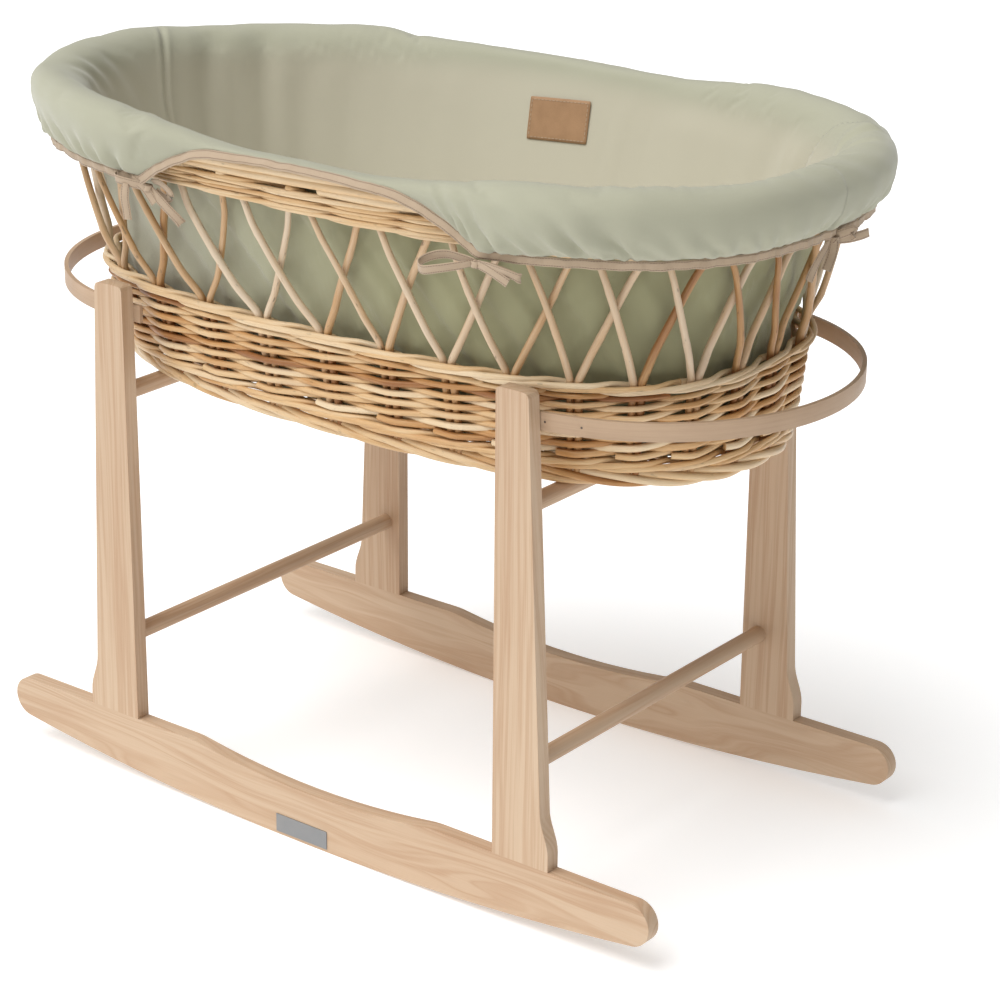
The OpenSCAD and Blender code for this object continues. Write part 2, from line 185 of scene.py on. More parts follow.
class Sweep:
    """Lengths of cane or tape, each a section carried along a line, gathered into one mesh."""

    def __init__(self):
        self.points, self.faces, self.grain, self.tone, self.cut = [], [], [], [], []
        self.count = 0

    def _put(self, points, grain, tone, cut, rings=1):
        """Adds points with their attributes; tone is one number, or one for each ring."""
        start = self.count
        self.points.append(points)
        self.grain.append(grain)
        self.tone.append(np.repeat(np.broadcast_to(tone, (rings,)), len(points) // rings))
        self.cut.append(np.full(len(points), cut))
        self.count += len(points)
        return start

    def add(self, line, section, out, tone=0.5):
        """section is (k, 2) or (n, k, 2): offsets along out, made square to the line, and across it."""
        line = np.asarray(line, float)
        n = len(line)
        section = np.broadcast_to(section, (n,) + np.shape(section)[-2:])
        k = section.shape[1]
        tangent = unit(np.gradient(line, axis=0))
        out = np.broadcast_to(np.asarray(out, float), line.shape)
        normal = unit(out - tangent * (tangent * out).sum(1, keepdims=True))
        side = np.cross(tangent, normal)
        rings = line[:, None] + section[..., :1] * normal[:, None] + section[..., 1:] * side[:, None]
        steps = np.linalg.norm(np.diff(line, axis=0), axis=1)
        along = np.concatenate([[0], np.cumsum(steps)]) + RANDOM.uniform(0, 9)
        grain = np.concatenate([np.repeat(along[:, None, None], k, 1), section], axis=2)
        start = self._put(rings.reshape(-1, 3), grain.reshape(-1, 3), tone, 0.0, n)
        self.faces.extend((grid_faces(n, k, columns_close=True) + start).tolist())
        for end, order in ((0, range(k - 1, -1, -1)), (n - 1, range(k))):
            first = self._put(rings[end], grain[end], np.broadcast_to(tone, (n,))[end], 1.0)
            self.faces.append([first + j for j in order])

    def cane(self, line, radius, tone=0.5, sides=8, out=None):
        """A round cane. out defaults to the way out from the middle of the basket."""
        line = np.asarray(line, float)
        angles = np.arange(sides) * 2 * math.pi / sides
        circle = np.stack([np.cos(angles), np.sin(angles)], -1)
        radius = np.broadcast_to(np.asarray(radius, float), (len(line),))
        if out is None:
            out = unit(line * [0.3, 1, 0])
        self.add(line, circle[None] * radius[:, None, None], out, tone)

    def made(self, name, body, slot, material, *replaced):
        """The finished piece, which stands for the CAD nodes replaced."""
        obj = add_object(
            name, np.concatenate(self.points), self.faces, body, material,
            {
                "grain": np.concatenate(self.grain),
                "tone": np.concatenate(self.tone),
                "cut": np.concatenate(self.cut),
            },
        )
        if replaced:
            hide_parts(*replaced)
        return obj


def flowing(points, spacing):
    """A smooth line through given points, sampled about every spacing."""
    points = np.asarray(points, float)
    weights = spline_weights(len(points), [
        max(2, int(round(np.linalg.norm(b - a) / spacing))) for a, b in zip(points[:-1], points[1:])
    ], closed=False)
    return weights @ points


def spline_weights(count, steps, closed):
    """The matrix that turns count control points into a Catmull-Rom line, steps[i] samples after point i."""
    rows = []
    spans = count if closed else count - 1
    for i in range(spans):
        for k in range(steps[i]):
            u = k / steps[i]
            weights = [
                -0.5 * u + u * u - 0.5 * u ** 3,
                1 - 2.5 * u * u + 1.5 * u ** 3,
                0.5 * u + 2 * u * u - 1.5 * u ** 3,
                -0.5 * u * u + 0.5 * u ** 3,
            ]
            row = np.zeros(count)
            for offset, weight in zip((-1, 0, 1, 2), weights):
                place = (i + offset) % count if closed else min(max(i + offset, 0), count - 1)
                row[place] += weight
            rows.append(row)
    if not closed:
        rows.append(np.eye(count)[-1])
    return np.array(rows)


def vertex_normals(grid):
    """Unit normals of a (rows, columns, 3) grid whose rows and columns both close on themselves."""
    along = np.roll(grid, -1, 0) - np.roll(grid, 1, 0)
    across = np.roll(grid, -1, 1) - np.roll(grid, 1, 1)
    return unit(np.cross(along, across))


# ---- materials


def srgb(r, g, b):
    """The linear colour of a screen colour given from 0 to 255."""
    def linear(v):
        v /= 255
        return v / 12.92 if v <= 0.04045 else ((v + 0.055) / 1.055) ** 2.4
    return (linear(r), linear(g), linear(b), 1.0)


class Graph:
    """A material and short ways to add nodes to it."""

    def __init__(self, name, roughness, **settings):
        self.material = bpy.data.materials.new(name)
        self.material.use_nodes = True
        self.tree = self.material.node_tree
        self.shader = self.tree.nodes["Principled BSDF"]
        self.shader.inputs["Roughness"].default_value = roughness
        for key, value in settings.items():
            self.shader.inputs[key.replace("_", " ")].default_value = value

    def node(self, kind, inputs, **settings):
        """A new node, with its inputs joined or set."""
        made = self.tree.nodes.new("ShaderNode" + kind)
        for key, value in settings.items():
            setattr(made, key, value)
        for key, value in inputs.items():
            self.put(made.inputs[key], value)
        return made

    def put(self, socket, value):
        """Joins a socket to an input, or sets the input to a value."""
        if isinstance(value, bpy.types.NodeSocket):
            self.tree.links.new(value, socket)
        else:
            socket.default_value = value

    def attribute(self, name):
        """A node that reads one of the mesh's attributes."""
        return self.node("Attribute", {}, attribute_name=name)

    def place(self):
        """The place in the object's own space, in metres."""
        return self.node("TexCoord", {}).outputs["Object"]

    def math(self, operation, a, b=0.0):
        """One step of arithmetic."""
        return self.node("Math", {0: a, 1: b}, operation=operation).outputs[0]

    def times(self, a, b):
        return self.math("MULTIPLY", a, b)

    def plus(self, a, b):
        return self.math("ADD", a, b)

    def centred(self, value, reach):
        """A value from 0 to 1 moved to lie evenly about 0, times reach."""
        return self.times(self.math("SUBTRACT", value, 0.5), reach)

    def scaled(self, value, scale, base):
        """The value times scale, plus base."""
        made = self.math("MULTIPLY_ADD", value, scale)
        made.node.inputs[2].default_value = base
        return made

    def woven(self, a, b, pitch):
        """The heights of threads that cross along a and b, pitch metres apart."""
        tops = [self.math("ABSOLUTE", self.math("SINE", self.times(v, math.pi / pitch))) for v in (a, b)]
        return self.times(*tops)

    def stretched(self, vector, scale, shift=(0, 0, 0)):
        """The vector scaled along each axis, then shifted."""
        return self.node("Mapping", {"Vector": vector, "Scale": scale, "Location": shift}).outputs[0]

    def noise(self, vector, cells=None, detail=3.0, roughness=0.5, shift=(0, 0, 0), scale=1.0):
        """Noise with this many cells to a metre along each axis."""
        if cells is not None:
            vector = self.stretched(vector, cells, shift)
        return self.node("TexNoise", {
            "Vector": vector, "Scale": scale, "Detail": detail, "Roughness": roughness,
        }).outputs["Fac"]

    def ramp(self, factor, stops):
        """A colour ramp; a stop is (place, colour) or (place, grey)."""
        made = self.node("ValToRGB", {0: factor})
        band = made.color_ramp
        while len(band.elements) < len(stops):
            band.elements.new(0.5)
        for element, (place, colour) in zip(band.elements, stops):
            element.position = place
            element.color = colour if hasattr(colour, "__len__") else (colour,) * 3 + (1.0,)
        return made.outputs["Color"]

    def mix(self, factor, a, b, blend="MIX"):
        """Two colours mixed by the factor."""
        return self.node("Mix", {0: factor, 6: a, 7: b}, data_type="RGBA", blend_type=blend).outputs[2]

    def finish(self, colour, heights=(), rough=None):
        """Joins the colour, and bumps given as (height, depth in metres) pairs, to the shader."""
        self.put(self.shader.inputs["Base Color"], colour)
        if rough is not None:
            self.put(self.shader.inputs["Roughness"], rough)
        normal = None
        for height, depth in heights:
            inputs = {"Height": height, "Distance": depth, "Strength": 1.0}
            if normal is not None:
                inputs["Normal"] = normal
            normal = self.node("Bump", inputs).outputs[0]
        if normal is not None:
            self.put(self.shader.inputs["Normal"], normal)
        return self.material


PINE_LIGHT = srgb(208, 184, 157)
PINE_DARK = srgb(170, 128, 94)


def pored(g, colour, fibre):
    """The colour, darker in the pores between the fibres."""
    return g.mix(0.5, colour, g.ramp(fibre, [(0.30, 0.80), (0.42, 1.0)]), "MULTIPLY")


def wood(name, along, seed, figure):
    """Planed pine: uneven growth lines about a far pith, drawn out into arches by figure, and fine fibres."""
    g = Graph(name, 0.52, Specular_IOR_Level=0.3)
    dice = np.random.RandomState(seed)
    shift = tuple(dice.uniform(-3, 3, 3))
    place = g.place()
    slow, fine, flat, pith = [11.0] * 3, [1100.0] * 3, [1.0] * 3, [0.0] * 3
    slow[along], fine[along], flat[along] = 1.7, 13.0, 0.0
    across = [axis for axis in range(3) if axis != along]
    pith[across[0]] = dice.uniform(0.02, 0.08)
    pith[across[1]] = dice.uniform(0.05, 0.09)
    warp = g.times(g.noise(place, slow, 2.0, shift=shift), figure)
    far = g.node("VectorMath", {0: g.stretched(place, flat, pith)}, operation="LENGTH").outputs["Value"]
    rings = g.node("CombineXYZ", {
        0: g.plus(far, warp),
        1: g.times(g.node("SeparateXYZ", {0: place}).outputs[along], 0.012),
        2: dice.uniform(0, 1),
    }).outputs[0]
    growth = g.noise(rings, detail=2.5, roughness=0.6, scale=250.0)
    late = g.ramp(growth, [(0.42, 0.0), (0.55, 0.75), (0.60, 1.0), (0.68, 0.25), (0.8, 0.05)])
    fibre = g.noise(place, fine, 4.0, 0.65, shift)
    cloud = g.noise(place, [v * 0.6 for v in slow], shift=shift)
    amount = g.plus(g.plus(g.times(late, 0.34), g.times(fibre, 0.42)), g.centred(cloud, 0.7))
    colour = pored(g, g.mix(amount, PINE_LIGHT, PINE_DARK), fibre)
    return g.finish(colour, [(fibre, 0.22 * MM), (late, 0.04 * MM)], g.scaled(fibre, 0.18, 0.44))


def bent_wood(name):
    """A steamed strip: plain wood whose fibres run along the bend."""
    g = Graph(name, 0.5, Specular_IOR_Level=0.35)
    place = g.place()
    fibre = g.noise(place, (16, 16, 1300), 4.0, 0.65)
    bands = g.noise(place, (3, 3, 260), 2.0)
    cloud = g.noise(place, (9, 9, 20))
    amount = g.plus(g.plus(g.times(fibre, 0.45), g.times(bands, 0.3)), g.centred(cloud, 0.6))
    colour = pored(g, g.mix(amount, srgb(198, 170, 142), srgb(150, 120, 94)), fibre)
    return g.finish(colour, [(fibre, 0.2 * MM)])


def willow(name, stops, knotty):
    """Peeled willow: each cane has its own tone, with streaks, knots and cut ends."""
    g = Graph(name, 0.42, Specular_IOR_Level=0.45, Coat_Weight=0.12, Coat_Roughness=0.3)
    grain = g.attribute("grain").outputs["Vector"]
    streak = g.noise(grain, (22, 620, 620), 4.0, 0.6)
    patch = g.noise(grain, (9, 60, 60))
    speck = g.noise(grain, (75, 260, 260), 2.0)
    tone = g.plus(g.attribute("tone").outputs["Fac"], g.centred(patch, 0.9))
    colour = g.ramp(g.plus(tone, g.centred(streak, 0.5)), stops)
    colour = g.mix(knotty, colour, g.ramp(speck, [(0.66, 1.0), (0.74, 0.4)]), "MULTIPLY")
    skin = g.ramp(patch, [(0.62, 0.0), (0.74, 1.0)])
    colour = g.mix(g.times(skin, 0.35), colour, srgb(168, 122, 80))
    pith = g.ramp(speck, [(0.3, srgb(170, 126, 76)), (0.7, srgb(214, 176, 124))])
    colour = g.mix(g.attribute("cut").outputs["Fac"], colour, pith)
    return g.finish(colour, [(streak, 0.35 * MM), (patch, 0.5 * MM)], g.scaled(streak, 0.3, 0.3))


def cloth(name, colour, shade, inner=None, outer=None, thread=0.55 * MM, sheen=0.35):
    """Plain-woven cotton with a soft sheen; the attribute inner blends in a paler tint as painted light, and
    outer a darker, greener tint as painted shade.
    """
    g = Graph(name, 0.86, Sheen_Weight=sheen, Sheen_Roughness=0.45, Specular_IOR_Level=0.22)
    grain = g.attribute("grain").outputs["Vector"]
    parts = g.node("SeparateXYZ", {0: grain})
    weave = g.woven(parts.outputs[0], parts.outputs[1], thread)
    slub_x = g.noise(grain, (90, 1600, 1600), 2.0)
    slub_y = g.noise(grain, (1600, 90, 1600), 2.0)
    slub = g.times(g.plus(slub_x, slub_y), 0.5)
    cloud = g.noise(grain, (7, 7, 7), 4.0)
    tint = g.mix(g.plus(g.times(slub, 0.5), g.times(cloud, 0.45)), colour, shade)
    # Painted light and shade on the one cloth: inner pales the inside face, outer darkens the face behind the
    # rods.
    if inner:
        tint = g.mix(g.attribute("inner").outputs["Fac"], tint, inner)
        tint = g.mix(g.attribute("outer").outputs["Fac"], tint, outer)
    tint = g.mix(0.12, tint, g.ramp(weave, [(0.0, 0.6), (0.7, 1.0)]), "MULTIPLY")
    return g.finish(tint, [(weave, 0.05 * MM), (slub, 0.12 * MM), (cloud, 0.6 * MM)])


def tape(name, colour, shade, width):
    """Cotton bias tape, with a row of machine stitches near each edge and painted shade along each row."""
    g = Graph(name, 0.82, Sheen_Weight=0.3, Sheen_Roughness=0.4, Specular_IOR_Level=0.25)
    stitch_inset, half_stitch, stitch_pitch = 1.6 * MM, 0.42 * MM, 2.8 * MM
    grain = g.attribute("grain").outputs["Vector"]
    parts = g.node("SeparateXYZ", {0: grain})
    along, across = parts.outputs[0], parts.outputs[2]
    weave = g.woven(g.plus(along, across), g.math("SUBTRACT", along, across), 0.5 * MM)
    slub = g.noise(grain, (300, 900, 900))
    cloud = g.noise(grain, (25, 25, 25))
    row = g.math("ABSOLUTE", g.math("SUBTRACT", g.math("ABSOLUTE", across), width / 2 - stitch_inset))
    in_row = g.math("LESS_THAN", row, half_stitch)
    dash = g.math("LESS_THAN", g.math("FRACT", g.math("DIVIDE", along, stitch_pitch)), 0.74)
    stitch = g.times(in_row, dash)
    tint = g.mix(g.plus(g.times(slub, 0.5), g.times(cloud, 0.5)), colour, shade)
    # Painted shade: a dark line along each stitch row; the stitches on it are darker thread.
    tint = g.mix(g.times(in_row, 0.25), tint, srgb(150, 122, 100))
    tint = g.mix(g.times(stitch, 0.6), tint, srgb(120, 96, 80))
    return g.finish(tint, [(weave, 0.06 * MM), (slub, 0.15 * MM), (stitch, 0.25 * MM)])


def leatherette(name):
    """Tan, fine-grained leatherette of a sewn label, in slightly uneven tones."""
    g = Graph(name, 0.6, Specular_IOR_Level=0.35)
    place = g.place()
    cells = g.node("TexVoronoi", {"Vector": place, "Scale": 900.0}).outputs["Distance"]
    fine = g.noise(place, (1400, 1400, 1400))
    cloud = g.noise(place, (60, 60, 60), 4.0)
    tint = g.ramp(cloud, [(0.2, srgb(160, 124, 90)), (0.8, srgb(178, 140, 104))])
    tint = g.mix(0.3, tint, g.ramp(fine, [(0.35, 0.7), (0.65, 1.0)]), "MULTIPLY")
    return g.finish(tint, [(cells, 0.12 * MM), (fine, 0.08 * MM)])


def metal(name, colour, roughness):
    """Metal brushed along X, with faint smudges."""
    g = Graph(name, roughness, Metallic=1.0)
    place = g.place()
    brush = g.noise(place, (20.0, 2600.0, 2600.0), 4.0, 0.7)
    smudge = g.noise(place, (70, 70, 70))
    tint = g.mix(g.times(brush, 0.5), colour, (0.32, 0.32, 0.32, 1.0))
    rough = g.plus(g.times(smudge, 0.22), roughness - 0.1)
    return g.finish(tint, [(brush, 0.03 * MM)], rough)


CANE_STOPS = [
    (0.0, srgb(146, 94, 48)),
    (0.25, srgb(190, 140, 84)),
    (0.55, srgb(214, 178, 130)),
    (1.0, srgb(226, 203, 168)),
]
STAKE_STOPS = [
    (0.0, srgb(150, 100, 54)),
    (0.3, srgb(188, 146, 98)),
    (0.6, srgb(205, 174, 138)),
    (1.0, srgb(215, 195, 169)),
]
CANE = willow("willow_cane", CANE_STOPS, 0.5)
STAKE = willow("willow_stake", STAKE_STOPS, 0.8)
# The cotton's inner tint is painted light on the inside face, its outer tint painted shade behind the rods.
COTTON = cloth(
    "sage_cotton_cloth", srgb(179, 178, 158), srgb(167, 166, 144),
    inner=srgb(197, 192, 172), outer=srgb(158, 156, 122),
)
COVER = cloth("mattress_cloth", srgb(226, 223, 212), srgb(216, 211, 198), thread=0.7 * MM, sheen=0.2)
TAPE_W = 10.5 * MM
TAPE = tape("bias_tape_cloth", srgb(196, 176, 152), srgb(172, 149, 125), TAPE_W)
LABEL = leatherette("label_leatherette")
STEEL = metal("screw_steel", srgb(150, 136, 118), 0.38)
# The nails are a darker, browner steel than the screws.
DARK_NAIL_STEEL = metal("nail_steel", srgb(96, 76, 58), 0.5)
PLATE = metal("plate_aluminium", srgb(142, 144, 146), 0.42)


# ---- the timber stand

# The axis that each pine piece's grain runs along.
PINE_ALONG = {
    "rocker_front": 0, "rocker_rear": 0,
    "leg_front_left": 2, "leg_front_right": 2, "leg_rear_left": 2, "leg_rear_right": 2,
    "lower_dowel_left": 1, "lower_dowel_right": 1, "support_rail_left": 1, "support_rail_right": 1,
    "leg_pins": 2,
}


def dress(name, material, bevel=0.0):
    """Gives a CAD node its material, and soft edges where its corners are planed off."""
    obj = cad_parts[name]
    obj.data.materials.clear()
    obj.data.materials.append(material)
    if bevel:
        weld = obj.modifiers.new("weld", "WELD")
        weld.merge_threshold = 0.01 * MM
        rounding = obj.modifiers.new("rounding", "BEVEL")
        rounding.width = bevel
        rounding.segments = 3
        rounding.limit_method = "ANGLE"
        rounding.angle_limit = math.radians(40)
        rounding.harden_normals = True


def dress_stand():
    """Materials for the stand; each pine piece has a grain of its own, liveliest on the rockers."""
    first_seed = 20
    board_edge, stick_edge, strip_edge, plate_edge = 1.6 * MM, 0.6 * MM, 0.8 * MM, 0.25 * MM
    lively, calm = 0.075, 0.022
    for seed, (name, along) in enumerate(PINE_ALONG.items()):
        is_rocker, is_pin = "rocker" in name, "pins" in name
        rounded = 0.0 if is_pin else board_edge if "leg_" in name or is_rocker else stick_edge
        figure = lively if is_rocker else calm
        dress(name, wood("pine_" + name, along, first_seed + seed, figure), rounded)
    bent = bent_wood("bent_strip")
    for name in ("hoop_left", "hoop_right"):
        dress(name, bent, strip_edge)
    dress("hoop_screws", STEEL)
    dress("hoop_nails", DARK_NAIL_STEEL)
    dress("name_plate", PLATE, plate_edge)


# ---- the willow basket


def tone(middle=0.55, spread=0.24):
    """A cane's own tone, from 0, dark, to 1, pale."""
    return float(np.clip(RANDOM.normal(middle, spread), 0.05, 1.0))


def in_and_out(s, first, reach):
    """Randing: outside the first station, inside the next, nearly straight in between."""
    sharp = 0.95
    return MID_D + reach * np.arcsin(sharp * np.cos(math.pi * (s - first))) / math.asin(sharp)


def waled_row(canes, z, radius, reach, rise, middle):
    """Three rods, each inside one station and outside the next two, climbing over the others."""
    butt, tip, per_station = 0.25, 0.3, 10
    for first in range(3):
        s, last = first + 0.5, first + 0.5 + STATIONS
        while s < last - 0.5:
            length = min(3 * RANDOM.randint(2, 4), last - s)
            seed = RANDOM.randint(9999)
            thick = radius * RANDOM.uniform(0.9, 1.08)
            start, end = s - butt, s + length + tip
            q = np.linspace(start, end, int((end - start) * per_station) + 1)
            turn = (q - first - 0.5) / 3 % 1
            outside = smooth(turn, 0.02, 0.28) - smooth(turn, 0.72, 0.98)
            over = (0.5 - turn) * 2.4 * MM * outside
            d = MID_D - reach + 2 * reach * outside + over + wander(q * 2, 0.3 * MM, seed)
            climb = np.interp(turn, [0, 0.15, 0.85, 1], [0, -1, 1, 0])
            height = z + rise * climb + wander(q * 1.5, 0.5 * MM, seed + 1)
            taper = 1.05 - 0.15 * ((q - start) / (end - start))
            canes.cane(ring_point(q, d, height), thick * taper, tone(middle, 0.18), 8)
            s += length


def make_foot_border():
    """Each cane starts with a cut end above the border and rolls outside, under and in."""
    canes = Sweep()
    centre_z, centre_d = FOOT_Z + 10 * MM, -9.5 * MM
    run, first_turn, whole_turn = 3.4, 108, 300
    gaps_at, gaps_reach, gap_depth = 20.5, 3.2, 0.85
    for k in range(STATIONS):
        u = np.linspace(0, 1, 48)
        s = k + 0.35 + run * u
        turn = np.radians(first_turn - whole_turn * u ** 1.05)
        reach = (5.6 + 0.9 * np.sin(math.pi * u)) * MM
        # The border sinks between some stations, which leaves small gaps under the wall.
        deep = gap_depth * hump(s % STATIONS - gaps_at, gaps_reach, 4)
        sink = 1 - deep * (0.5 + 0.5 * np.cos(2 * math.pi * s))
        radius = (5.0 - 1.2 * u) * MM * RANDOM.uniform(0.9, 1.06)
        d = centre_d + reach * np.cos(turn)
        lift = reach * np.sin(turn)
        z = centre_z + np.where(lift > 0, lift * sink, lift) + 1.2 * MM * (1 - u) ** 4
        canes.cane(ring_point(s, d, z), radius, tone(0.62, 0.16), 10)
    canes.made("willow_foot_border", "bassinet", "willow", CANE, "foot_border")


def make_wall():
    """Rods that each start with a thick cut end outside a station and climb a row at each station."""
    canes = Sweep()
    rows, reach, thick, taper = 13, 6.5 * MM, 4.2, 0.9
    start_z, top_z = WALL_LOW + 18.5 * MM, WALE_LO.z - 2.6 * MM
    pitch = (top_z - start_z) / (rows - 1)
    for k in range(STATIONS):
        first = k + 0.5
        seed = RANDOM.randint(9999)
        s = np.linspace(first - RANDOM.uniform(0.22, 0.4), first + rows - 0.45, rows * 14)
        level = np.clip(s - first, 0, rows - 1)
        d = in_and_out(s, first, reach) + wander(s * 3, 0.35 * MM, seed)
        z = start_z + pitch * level + wander(s * 2.2, 0.7 * MM, seed + 1)
        radius = (thick - taper * (level / rows) ** 1.2) * MM * RANDOM.uniform(0.86, 1.06)
        canes.cane(ring_point(s, d, z), radius, tone(), 9)
    waled_row(canes, WALL_LOW + 7.4 * MM, 3.6 * MM, 6.6 * MM, 4.4 * MM, 0.55)
    canes.made("willow_wall", "bassinet", "willow", CANE, "woven_wall")


def make_wale():
    """The waled row that closes the wall."""
    canes = Sweep()
    waled_row(canes, (WALE_LO.z + WALE_HI.z) / 2, 3.5 * MM, 7.0 * MM, 4.0 * MM, 0.78)
    canes.made("willow_wale", "bassinet", "willow", CANE, "wall_wale")


def make_stakes(name, way, node):
    """Stakes that stand in pairs in the wall, then lean apart and cross their neighbours."""
    canes = Sweep()
    low, high = FOOT_Z + 8 * MM, RIM_TOP - 29 * MM
    pair = 0.068
    for k in range(STATIONS):
        z = np.linspace(low, high, 52)
        climb = np.clip((z - WALL_TOP) / (RIM_Z - WALL_TOP), 0, 1.15)
        bend = RANDOM.uniform(-0.05, 0.09)
        kink, place = RANDOM.uniform(-0.12, 0.12), RANDOM.uniform(0.2, 0.8)
        drift = climb + bend * np.sin(math.pi * climb)
        drift = drift + kink * (np.minimum(climb, place) * (1 - place) - np.maximum(climb - place, 0) * place)
        s = k + 0.5 + way * (pair + (STAKE_LEAN - pair) * drift)
        d = MID_D - way * between(climb, 0.0, 0.25, 0.8, 1.05) * (STAKE_R + 0.5 * MM)
        thick = STAKE_R * RANDOM.uniform(0.88, 1.06)
        knot = 1 + 0.1 * hump(climb - place, 0.022)
        radius = thick * (1.05 - 0.14 * climb) * knot
        # Painted shade: the stakes are darker where they stand in the weave, between its rods.
        weave_shade = 0.5 * (1 - smooth(z, WALL_TOP - 12 * MM, WALL_TOP + 4 * MM))
        canes.cane(ring_point(s, d, z), radius, tone(0.56, 0.26) - weave_shade, 12)
    canes.made(name, "bassinet", "willow", STAKE, node)


def make_rim_weave():
    """Three waled rows of thin rods under the border."""
    canes = Sweep()
    for lift in (5.8, 14.4, 23.0):
        waled_row(canes, RIM_Z + lift * MM, 2.9 * MM, 6.4 * MM, 3.3 * MM, 0.6)
    canes.made("willow_rim_weave", "bassinet", "willow", CANE, "rim_weave")


def make_rim_border():
    """Long thick canes that start with a cut end low outside and wind slowly over the top of the rim."""
    canes = Sweep()
    centre = (BORDER_Z + RIM_TOP) / 2 + 0.6 * MM
    apart, run, first_turn, whole_turn = 2.5, 11.5, -72, 262
    half_wide, half_tall = 5.4 * MM, 8.4 * MM
    for k in np.arange(0, STATIONS, apart):
        u = np.linspace(0, 1, 120)
        s = k + RANDOM.uniform(-0.3, 0.5) + run * u
        turn = np.radians(first_turn + whole_turn * u + RANDOM.uniform(-6, 6) * np.sin(math.pi * u))
        radius = (5.9 - 2.0 * u ** 2) * MM * RANDOM.uniform(0.92, 1.04)
        seed = RANDOM.randint(9999)
        d = MID_D + half_wide * np.cos(turn) + wander(s * 1.5, 0.4 * MM, seed)
        z = centre + half_tall * np.sin(turn) + wander(s * 1.5, 0.5 * MM, seed + 1)
        canes.cane(ring_point(s, d, z), radius, tone(0.85, 0.1), 10)
    shown, samples = 0.4, 6
    for k in range(STATIONS):
        # The trimmed end of a stake, just under the border.
        s = k + 0.5 + np.linspace(0.1, -0.06, samples)
        d = MID_D + np.linspace(-3, 7.5, samples) * MM
        z = np.full(samples, BORDER_Z - 0.5 * MM) + np.linspace(-3, 3, samples) * MM
        if RANDOM.uniform() < shown:
            canes.cane(ring_point(s, d, z), 3.3 * MM, tone(0.35, 0.15), 9)
    canes.made("willow_rim_border", "bassinet", "willow", CANE, "rim_border")


def make_base():
    """The oval base: cross sticks with weavers over and under them."""
    canes = Sweep()
    middle = (BASE_LO.z + BASE_HI.z) / 2
    half_x, half_y = BASE_HI.x, BASE_HI.y
    power, stick_gap, pitch = 2.45, 38 * MM, 7.4 * MM
    stick_r, weaver_r, wave, samples = 2.9 * MM, 2.7 * MM, 2.6 * MM, 9

    def reach(v, half, other):
        """Half the oval's size across, at v from its middle."""
        return other * (1 - min(1.0, abs(v) / half) ** power) ** (1 / power)

    sticks = int(half_x // stick_gap)
    for k in range(-sticks, sticks + 1):
        y = reach(k * stick_gap, half_x, half_y)
        x, z = np.full(samples, k * stick_gap), np.full(samples, middle)
        line = np.stack([x, np.linspace(-y, y, samples), z], -1)
        canes.cane(line, stick_r, tone(0.45, 0.15), 8, out=(0, 0, 1))
    rows = int(half_y // pitch)
    for k in range(-rows, rows + 1):
        x = reach(k * pitch, half_y, half_x)
        if x < stick_gap:
            continue
        xs = np.linspace(-x, x, int(2 * x / stick_gap * 7))
        z = middle + wave * np.cos(math.pi * (xs / stick_gap + k))
        y = k * pitch + wander(xs * 30, 0.4 * MM, 300 + k)
        canes.cane(np.stack([xs, y, z], -1), weaver_r * RANDOM.uniform(0.9, 1.1), tone(), 7, out=(0, 0, 1))
    canes.made("willow_base", "bassinet", "willow", CANE, "basket_base")


# ---- the padded liner

# The liner's section over a cuff and along a handle notch: distance outside the outline and height,
# in millimetres, from the foot of the inner face, over the rim to the hem, and back down outside.
INNER_FOOT = [(-45.5, 3), (-37, 14), (-31, 90), (-31, 160)]
OUTER_FACE = [(-19, 276), (-19.8, 250), (-20, 222), (-20, 160), (-20, 90), (-20, 25), (-19.6, 0)]
CUFF_SECTION = INNER_FOOT + [
    (-31, 222), (-31, 254), (-30.5, 276), (-27, 292), (-18, 304), (-5, 309.5), (10, 309), (22, 302.5),
    (30, 290.5), (33, 276.5), (32.8, 263), (30.5, 251.5), (26.5, 243), (21.5, 239), (15, 239.6),
    (8.5, 244), (4.5, 256), (4, 273), (2, 286), (-8, 287), (-16, 286),
] + OUTER_FACE
NOTCH_SECTION = INNER_FOOT + [
    (-30.5, 222), (-29.5, 252), (-28, 270), (-25.5, 281), (-21.5, 288), (-15, 291), (-9, 291.6),
    (-4, 291.4), (-0.5, 290.6), (1.6, 289.4), (2.8, 288.4), (3.4, 287.6), (3.6, 286.9), (3.4, 286.3),
    (2.4, 285.8), (1.2, 285.6), (0, 285.6), (-2, 285.6), (-5, 285.8), (-10, 286), (-16.5, 285),
] + OUTER_FACE
# The section's points where the cuff's finer rows start and where its hem is, and the liner's columns.
FIRST_CUFF_POINT = 6
HEM_POINT = 17
COLUMNS = 960


def notch_share(t, inner, outer, corner=0.0):
    """1 in a handle notch, 0 over a cuff, easing between two angles; corner sharpens its low end."""
    away = np.abs((np.asarray(t, float) - LINER_TURN) % 180 - 90)
    k = np.clip((away - inner) / (outer - inner), 0, 1)
    return 1 - (1 - corner) * k * k * (3 - 2 * k) - corner * k ** 1.7


def cuff_share(t):
    """1 over a cuff and 0 in a notch, as a column beside the rows of the liner's grid."""
    return (1 - notch_share(t, NOTCH_RIM, NOTCH_HEM + 3))[:, None]


def turned_from(t, angle):
    """How far round the angles t are from one angle between -180 and 180."""
    return (np.asarray(t, float) + 180) % 360 - 180 - angle


